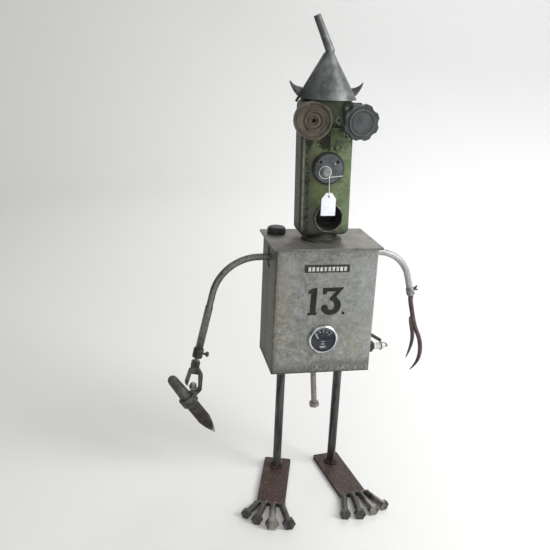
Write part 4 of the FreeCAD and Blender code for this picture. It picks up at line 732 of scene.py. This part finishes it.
# %% Eyes
def rusty_eye():
    made = Finish("eye_rust")
    far = from_centre(made, "left_eye")
    fine, wisp = made.noise(300, 5, 0.7), made.noise(50, 6, 0.7, twist=1.0)
    made.ground(made.smooth(wisp, 0.35, 0.65), (52, 48, 42), (92, 86, 76))
    rust = made.smooth(made.noise(80, 5, 0.7), 0.45, 0.65)
    made.paint(rust * 0.55, 72, 54, 44)
    moss = made.smooth(made.noise(40, 5, 0.7, twist=0.6), 0.5, 0.62)
    made.paint(moss * 0.35, 68, 72, 54)
    ring = made.near(far, 11.5 * MM, 2.2 * MM) + made.near(far, 19 * MM, 1.6 * MM) * 0.5
    made.paint(ring * made.smooth(wisp, 0.3, 0.6) * 0.6, 124, 118, 88)
    lip = made.near(far, 34.4 * MM, 1.6 * MM)
    made.paint(lip * 0.6, 120, 122, 106)
    dark = made.near(far, 8 * MM, 1.8 * MM) + made.near(far, 15 * MM, 1.2 * MM) * 0.6
    made.paint(dark * 0.8, 44, 38, 34)
    pits = made.smooth(fine, 0.6, 0.66)
    made.paint(pits * 0.5, 56, 46, 40)
    turns = far * (2 * math.pi / (3.2 * MM))
    waves = turns.math("SINE", turns)
    made.bump(waves, 0.12 * MM)
    made.bump(fine, 0.25 * MM)
    return made.surface(0.55 + fine * 0.15 - lip * 0.1, 0.35)


def moulded_eye():
    made = Finish("eye_grey")
    far = from_centre(made, "right_eye_knob")
    fine, wisp = made.noise(400, 4, 0.6), made.noise(45, 5, 0.65)
    made.ground(made.smooth(wisp, 0.35, 0.65), (44, 49, 50), (68, 74, 74))
    worn = (made.near(far, 23.5 * MM, 1.4 * MM) * made.smooth(fine, 0.35, 0.55)
            + made.near(far, 37 * MM, 3 * MM) * made.smooth(wisp, 0.4, 0.6) * 0.7)
    made.paint(worn * 0.6, 112, 118, 116)
    hollow = made.near(far, 27 * MM, 2 * MM)
    made.paint(hollow * 0.5, 34, 37, 38)
    dust = made.smooth(fine, 0.6, 0.7)
    made.paint(dust * 0.4, 96, 99, 98)
    made.bump(fine, 0.1 * MM)
    return made.surface(0.5 + fine * 0.15, 0.0)


FINISHES["eye_rust"] = rusty_eye()
FINISHES["eye_grey"] = moulded_eye()
print("two eye finishes")

# %% [markdown]
# ## Small bright and pale things
# Glazed ceramic is nearly white with a clear coat over faint crazing. The dial
# is a dark blue-black card behind thin glass: the glass is mostly see-through,
# so its Alpha is low and only its reflections show. Paper has soft fibres, and
# the string is cotton.

# %% Ceramic, dial, glass, paper and string
def plain(name, dark, light, patch, rough, coat=0.0, fibre=(1, 1, 1), depth=0.05, **fixed):
    """A simple two-tone finish with fine grain for small pieces."""
    made = Finish(name)
    cloud, fine = made.noise(patch, 5, 0.6), made.noise(patch * 12, 4, 0.6, fibre)
    made.ground(made.smooth(cloud, 0.35, 0.65), dark, light)
    made.paint(made.smooth(fine, 0.6, 0.72) * 0.4, *dark)
    made.bump(fine, depth * MM)
    return made.surface(rough + fine * 0.1, 0.0, coat, **fixed)


FINISHES["plug_ceramic"] = plain("plug_ceramic", (196, 194, 186), (226, 225, 219), 90, 0.2, 0.6)
FINISHES["gauge_black"] = plain("gauge_black", (24, 29, 38), (38, 44, 55), 60, 0.45)
FINISHES["needle_white"] = plain("needle_white", (214, 212, 202), (236, 235, 228), 90, 0.4)
FINISHES["tag_paper"] = plain("tag_paper", (226, 228, 236), (242, 244, 250), 120, 0.75,
                              fibre=(1, 1, 0.3), depth=0.04)
FINISHES["tag_string"] = plain("tag_string", (206, 204, 196), (238, 237, 231), 300, 0.85,
                               depth=0.12)


def thin_glass():
    made = Finish("gauge_glass")
    smear = made.smooth(made.noise(50, 5, 0.7, twist=1.5), 0.5, 0.8)
    made.colour = shade(60, 66, 76)
    return made.surface(0.03 + smear * 0.08, 0.0, 0.0,
                        Alpha=0.04 + smear * 0.03, Specular_IOR_Level=0.3)


FINISHES["gauge_glass"] = thin_glass()
FINISHES["gauge_glass"].surface_render_method = "BLENDED"
print(len(FINISHES), "finishes in all")

# %% [markdown]
# ## Dressing the mechanical pieces
# Each CAD piece already names the material it is made of, so putting the
# finishes on is one loop. A name without a finish stops the script here rather
# than leaving a plain grey piece.

# %% Put the finishes on
for piece in NODES.values():
    for held in piece.material_slots:
        held.material = FINISHES[held.material.name.split(".")[0]]
print("all", len(NODES), "pieces have a finish")

# %% [markdown]
# ## The painted number
# A stencilled "13." sits between the badge and the gauge: a slab-footed one, a
# flat-topped three with a ball at its end, and a stop. Paint is thin, so each
# shape is a flat outline given a fraction of a millimetre. The three is built
# from simple shapes that overlap, as a sign writer would block it in: a bowl, a
# ball, a bar and the stroke that joins them. Sizes are in millimetres from the
# number's own lower left corner.

# %% Outlines of the number
def oval(centre, reach, start=0, end=360, steps=28):
    """Points on an oval from one angle to another, in degrees."""
    angles = [math.radians(start + (end - start) * step / steps) for step in range(steps + 1)]
    return [(centre[0] + reach[0] * math.cos(a), centre[1] + reach[1] * math.sin(a))
            for a in angles]


ONE = ((0, 0), (19, 0.4), (19, 5.6), (16.8, 6.2), (18, 57), (9, 56), (3.4, 53), (-0.6, 48.4),
       (0.6, 44.4), (5.6, 45), (4.8, 6), (0, 5.4))
THREE_BAR = ((1, 56.4), (44, 57), (41, 52), (29, 48.8), (9.6, 48.6), (9, 43.8), (1, 42.4))
THREE_STROKE = ((44, 57), (28, 49), (14.6, 33.8), (19.4, 28), (31.6, 34), (29.4, 38.4))
STOP = ((0, 0.6), (5.8, 0), (6.6, 5.6), (0.8, 6.4))
THREE_BOWL = (oval((18.6, 19), (20.6, 19.4), 200, 425)
              + oval((18.6, 19), (7.2, 8.6), 200, 425)[::-1])
THREE_BALL = oval((6.4, 14.6), (7, 7))[:-1]
NUMBER = ((-35, ONE), (-7, THREE_BAR), (-7, THREE_STROKE), (34.4, STOP), (-7, THREE_BOWL),
          (-7, THREE_BALL))
NUMBER_FOOT = TORSO_LOW.z + 124 * MM
print(len(NUMBER), "outlines")


# %% Paint the number
def flat_shapes(name, shapes, front, thick, apart=0.0):
    """Upright flat shapes facing forwards: (x, z) outlines in metres, given a thickness."""
    shape = bmesh.new()
    for place, outline in enumerate(shapes):
        depth = front - place * apart
        face = shape.faces.new([shape.verts.new((x, depth, z)) for x, z in outline])
        face.normal_update()
        if face.normal.y > 0:
            face.normal_flip()
    bmesh.ops.triangulate(shape, faces=shape.faces)
    pushed = bmesh.ops.extrude_face_region(shape, geom=shape.faces[:], use_keep_orig=True)
    corners = [part for part in pushed["geom"] if isinstance(part, bmesh.types.BMVert)]
    bmesh.ops.translate(shape, verts=corners, vec=(0, thick, 0))
    bmesh.ops.recalc_face_normals(shape, faces=shape.faces)
    return settled(name, shape)


def number_paint():
    made = Finish("number_paint")
    worn = made.smooth(made.noise(150, 8, 0.8, twist=0.5), 0.56, 0.64)
    cloud = made.noise(60, 5)
    made.ground(made.smooth(cloud, 0.35, 0.65), (20, 21, 21), (36, 37, 36))
    made.paint(worn * 0.4, 92, 93, 90)
    made.bump(made.noise(500, 4), 0.05 * MM)
    return made.surface(0.6 + worn * 0.2, 0.0, Specular_IOR_Level=0.25)


painted = flat_shapes("stencil_number", [
    [(TORSO_X + (left + x) * MM, NUMBER_FOOT + z * MM) for x, z in outline]
    for left, outline in NUMBER], TORSO_FRONT - 0.12 * MM, 0.6 * MM, 0.04 * MM)
painted.data.materials.append(number_paint())
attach(painted, "frame")
print("number has", len(painted.data.polygons), "faces")

# %% [markdown]
# ## Things that repeat
# Ticks on a dial, beads of weld and ribs on a thumb screw are one small shape
# many times over. Geometry Nodes suit that: a tree lays points along a path and
# puts a copy on each, with the count and sizes as named inputs. The path is a
# plain line of points made here. Afterwards the result is kept as an ordinary
# mesh and the modifier goes, so that nothing live is left behind.

# %% Copies along a path
def path_tree(name, shape_kind, inputs):
    """A tree that puts a small shape on points along a path, with named inputs."""
    tree = bpy.data.node_groups.new(name, "GeometryNodeTree")
    tree.interface.new_socket("Geometry", in_out="INPUT", socket_type="NodeSocketGeometry")
    for label, kind in inputs:
        tree.interface.new_socket(label, in_out="INPUT", socket_type=kind)
    tree.interface.new_socket("Geometry", in_out="OUTPUT", socket_type="NodeSocketGeometry")
    add, link = tree.nodes.new, tree.links.new
    given, result = add("NodeGroupInput"), add("NodeGroupOutput")
    line, points = add("GeometryNodeMeshToCurve"), add("GeometryNodeCurveToPoints")
    link(given.outputs["Geometry"], line.inputs["Mesh"])
    link(line.outputs["Curve"], points.inputs["Curve"])
    link(given.outputs["Count"], points.inputs["Count"])
    copies, real = add("GeometryNodeInstanceOnPoints"), add("GeometryNodeRealizeInstances")
    link(points.outputs["Points"], copies.inputs["Points"])
    link(points.outputs["Rotation"], copies.inputs["Rotation"])
    shape = add(shape_kind)
    if shape_kind == "GeometryNodeMeshCube":
        link(given.outputs["Size"], shape.inputs["Size"])
    else:
        shape.inputs["Subdivisions"].default_value = 2
        link(given.outputs["Radius"], shape.inputs["Radius"])
        lump = add("FunctionNodeRandomValue")
        lump.data_type = "FLOAT_VECTOR"
        lump.inputs["Min"].default_value = (0.75, 0.75, 0.8)
        lump.inputs["Max"].default_value = (1.2, 1.2, 1.3)
        link(given.outputs["Seed"], lump.inputs["Seed"])
        link(lump.outputs["Value"], copies.inputs["Scale"])
    link(shape.outputs["Mesh"], copies.inputs["Instance"])
    smooth, paint = add("GeometryNodeSetShadeSmooth"), add("GeometryNodeSetMaterial")
    smooth.inputs["Shade Smooth"].default_value = shape_kind != "GeometryNodeMeshCube"
    link(copies.outputs["Instances"], real.inputs["Geometry"])
    link(real.outputs["Geometry"], smooth.inputs["Geometry"])
    link(smooth.outputs["Geometry"], paint.inputs["Geometry"])
    link(given.outputs["Finish"], paint.inputs["Material"])
    link(paint.outputs["Geometry"], result.inputs["Geometry"])
    return tree


BLOCKS = path_tree("blocks_on_path", "GeometryNodeMeshCube", (
    ("Count", "NodeSocketInt"), ("Size", "NodeSocketVector"), ("Finish", "NodeSocketMaterial")))
BEADS = path_tree("beads_on_path", "GeometryNodeMeshIcoSphere", (
    ("Count", "NodeSocketInt"), ("Radius", "NodeSocketFloat"), ("Seed", "NodeSocketInt"),
    ("Finish", "NodeSocketMaterial")))


def along_path(name, tree, path, closed=False, **inputs):
    """Runs a tree on a line of points and keeps the result as a plain mesh."""
    edges = [(i, i + 1) for i in range(len(path) - 1)] + ([(len(path) - 1, 0)] if closed else [])
    start = bpy.data.meshes.new(name + "_path")
    start.from_pydata(path, edges, [])
    holder = linked(name + "_path", start)
    grow = holder.modifiers.new("grow", "NODES")
    grow.node_group = tree
    for item in tree.interface.items_tree:
        if item.in_out == "INPUT" and item.name in inputs:
            grow[item.identifier] = inputs[item.name]
    ready = holder.evaluated_get(bpy.context.evaluated_depsgraph_get())
    mesh = bpy.data.meshes.new_from_object(ready)
    mesh.name = name
    mesh.materials.clear()
    mesh.materials.append(inputs["Finish"])
    mesh.polygons.foreach_set("material_index", [0] * len(mesh.polygons))
    bpy.data.objects.remove(holder)
    return linked(name, mesh)


def ring_path(centre, axis, radius, start=0.0, end=360.0, steps=48):
    """Points on a circle round an axis; a full turn leaves its last point out."""
    axis = Vector(axis).normalized()
    side = axis.orthogonal().normalized()
    full = abs(end - start) >= 360
    angles = [math.radians(start + (end - start) * step / steps)
              for step in range(steps if full else steps + 1)]
    return [Vector(centre) + radius * (side * math.cos(a) + axis.cross(side) * math.sin(a))
            for a in angles]


print("two trees:", BLOCKS.name, "and", BEADS.name)

# %% [markdown]
# ## The dial's marks
# Small white ticks run round the top of the dial, longer at every fifth. Where
# the real dial has small print there are only short plain dashes.

# %% Ticks and dashes
bezel_low, bezel_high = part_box("gauge_bezel")
DIAL_Z = (bezel_low.z + bezel_high.z) / 2
DIAL_FACE = TORSO_FRONT - 1.5 * MM
HOOD_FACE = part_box("gauge_dial")[0].y - 0.08 * MM


def dial_arc(radius, start, end, front, steps=24):
    """Points on the dial from one clock angle to another, 0 being straight up."""
    angles = [math.radians(start + (end - start) * step / steps) for step in range(steps + 1)]
    return [(TORSO_X + radius * math.sin(a), front, DIAL_Z + radius * math.cos(a))
            for a in angles]


TICKS = (("dial_ticks", 21.6, 21, (0.2, 1.8, 0.45)),
         ("dial_long_ticks", 20.6, 5, (0.2, 4.2, 0.7)),
         ("dial_labels", 15.6, 5, (0.2, 2.2, 1.3)))
for name, radius, count, size in TICKS:
    marks = along_path(name, BLOCKS, dial_arc(radius * MM, -52, 56, DIAL_FACE), Count=count,
                       Size=[part * MM for part in size], Finish=FINISHES["needle_white"])
    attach(marks, "frame")
DASHES = ((-5, 6, 0.9), (-10, 7, 1.2), (-15, 13, 1.0), (-18, 10, 0.8))
dashes = flat_shapes("dial_dashes", [
    [(TORSO_X + x * wide / 2 * MM, DIAL_Z + (up + z * tall / 2) * MM)
     for x, z in ((-1, -1), (1, -1), (1, 1), (-1, 1))] for up, wide, tall in DASHES],
    HOOD_FACE, 0.1 * MM)
dashes.data.materials.append(FINISHES["needle_white"])
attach(dashes, "frame")
print("dial marks at", [round(value / MM, 1) for value in (TORSO_X, DIAL_FACE, DIAL_Z)])

# %% [markdown]
# ## Weld beads
# The legs are welded to the foot plates by hand, in a row of overlapping drops,
# and each toe bolt has a few bright drops where it meets its plate. Lumpy balls
# of slightly different sizes along a short path give that. They stand in for
# the smooth collars of the mechanical model.

# %% Beads at the ankles, hips and toes
ANKLE_TOP = 100 * MM
weld_boxes = islands("frame_welds")
bead_meshes = []
for number, (low, high) in enumerate(weld_boxes):
    middle, wide = (low + high) / 2, (high.x - low.x) / 2
    at_ankle = middle.z < ANKLE_TOP
    height = low.z + 2 * MM if at_ankle else high.z - 2 * MM
    for turn, radius in ((0, wide - 3.5 * MM), (1, wide - 5.5 * MM)):
        lift = turn * (2.5 if at_ankle else -1.5) * MM
        path = ring_path((middle.x, middle.y, height + lift), (0, 0, 1), radius)
        bead_meshes.append(along_path(
            f"weld_ring_{number}_{turn}", BEADS, path, True, Count=16 - 4 * turn,
            Radius=(2.5 - 0.4 * turn) * MM, Seed=number * 2 + turn,
            Finish=FINISHES["weld_steel"]))
toe_boxes = islands("toe_welds")
print(len(weld_boxes), "welds and", len(toe_boxes), "toe beads")


# %% Join the beads
def joined(name, objects):
    """Several mesh objects at the origin as one."""
    shape = bmesh.new()
    for thing in objects:
        shape.from_mesh(thing.data)
    whole = settled(name, shape)
    whole.data.materials.append(objects[0].data.materials[0])
    for thing in objects:
        bpy.data.objects.remove(thing)
    return whole


weld_rings = joined("weld_rings", bead_meshes)
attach(weld_rings, "frame")
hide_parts("frame_welds")
toe_beads = joined("toe_beads", [
    along_path(f"toe_bead_{number}", BEADS,
               [(low.x + 1.5 * MM, (low.y + high.y) / 2, low.z + 2.6 * MM),
                (high.x - 1.5 * MM, (low.y + high.y) / 2, low.z + 2.6 * MM)],
               Count=4, Radius=2.5 * MM, Seed=40 + number, Finish=FINISHES["toe_weld"])
    for number, (low, high) in enumerate(toe_boxes)])
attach(toe_beads, "frame")
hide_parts("toe_welds")
print(len(weld_rings.data.polygons), "and", len(toe_beads.data.polygons), "faces of weld")

# %% [markdown]
# ## The thicker end of the left arm, and the ribbed screw
# The left arm's lower run is slightly thicker than its bend, like one pipe
# pushed over another, so a thin sleeve goes over it. The screw in the hand's
# window has a ribbed rim for the fingers. Both follow a joint's own line, which
# the frame gives as a point and a direction.

# %% Sleeve and ribs
def joint_line(name):
    found = next(joint for joint in frame["joints"] if joint["name"] == name)
    return Vector(found["pos_m"]), Vector(found["axis"]).normalized()


def sleeve(name, start, along, profile, steps=48):
    """A turned piece: (distance along, radius) points spun round a line."""
    shape = bmesh.new()
    rings = [[shape.verts.new(point) for point in ring_path(start + along * far, along, radius,
                                                             steps=steps)]
             for far, radius in profile]
    for first, second in zip(rings, rings[1:] + rings[:1]):
        for step in range(steps):
            after = (step + 1) % steps
            shape.faces.new((first[step], first[after], second[after], second[step]))
    bmesh.ops.recalc_face_normals(shape, faces=shape.faces)
    return settled(name, shape, smooth=True)


wrist, down = joint_line("left_hand_swivel")
PIPE, STEP = 6.76 * MM, 1.1 * MM
arm_sleeve = sleeve("left_arm_sleeve", wrist, -down, (
    (7.2 * MM, PIPE), (7.2 * MM, PIPE + STEP), (98 * MM, PIPE + STEP),
    (100 * MM, PIPE + STEP * 0.7),
    (101 * MM, PIPE + STEP * 0.2), (101 * MM, PIPE)))
arm_sleeve.data.materials.append(FINISHES["pipe_zinc"])
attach(arm_sleeve, "frame")
screw, screw_down = joint_line("yoke_screw_turn")
ribs = along_path("yoke_screw_ribs", BLOCKS, ring_path(screw + screw_down * 5 * MM, screw_down,
                                                       6.5 * MM), True,
                  Count=20, Size=[1.6 * MM, 1.1 * MM, 8 * MM], Finish=FINISHES["hand_iron"])
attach(ribs, "yoke_screw")
print("sleeve and", len(ribs.data.polygons) // 6, "ribs")
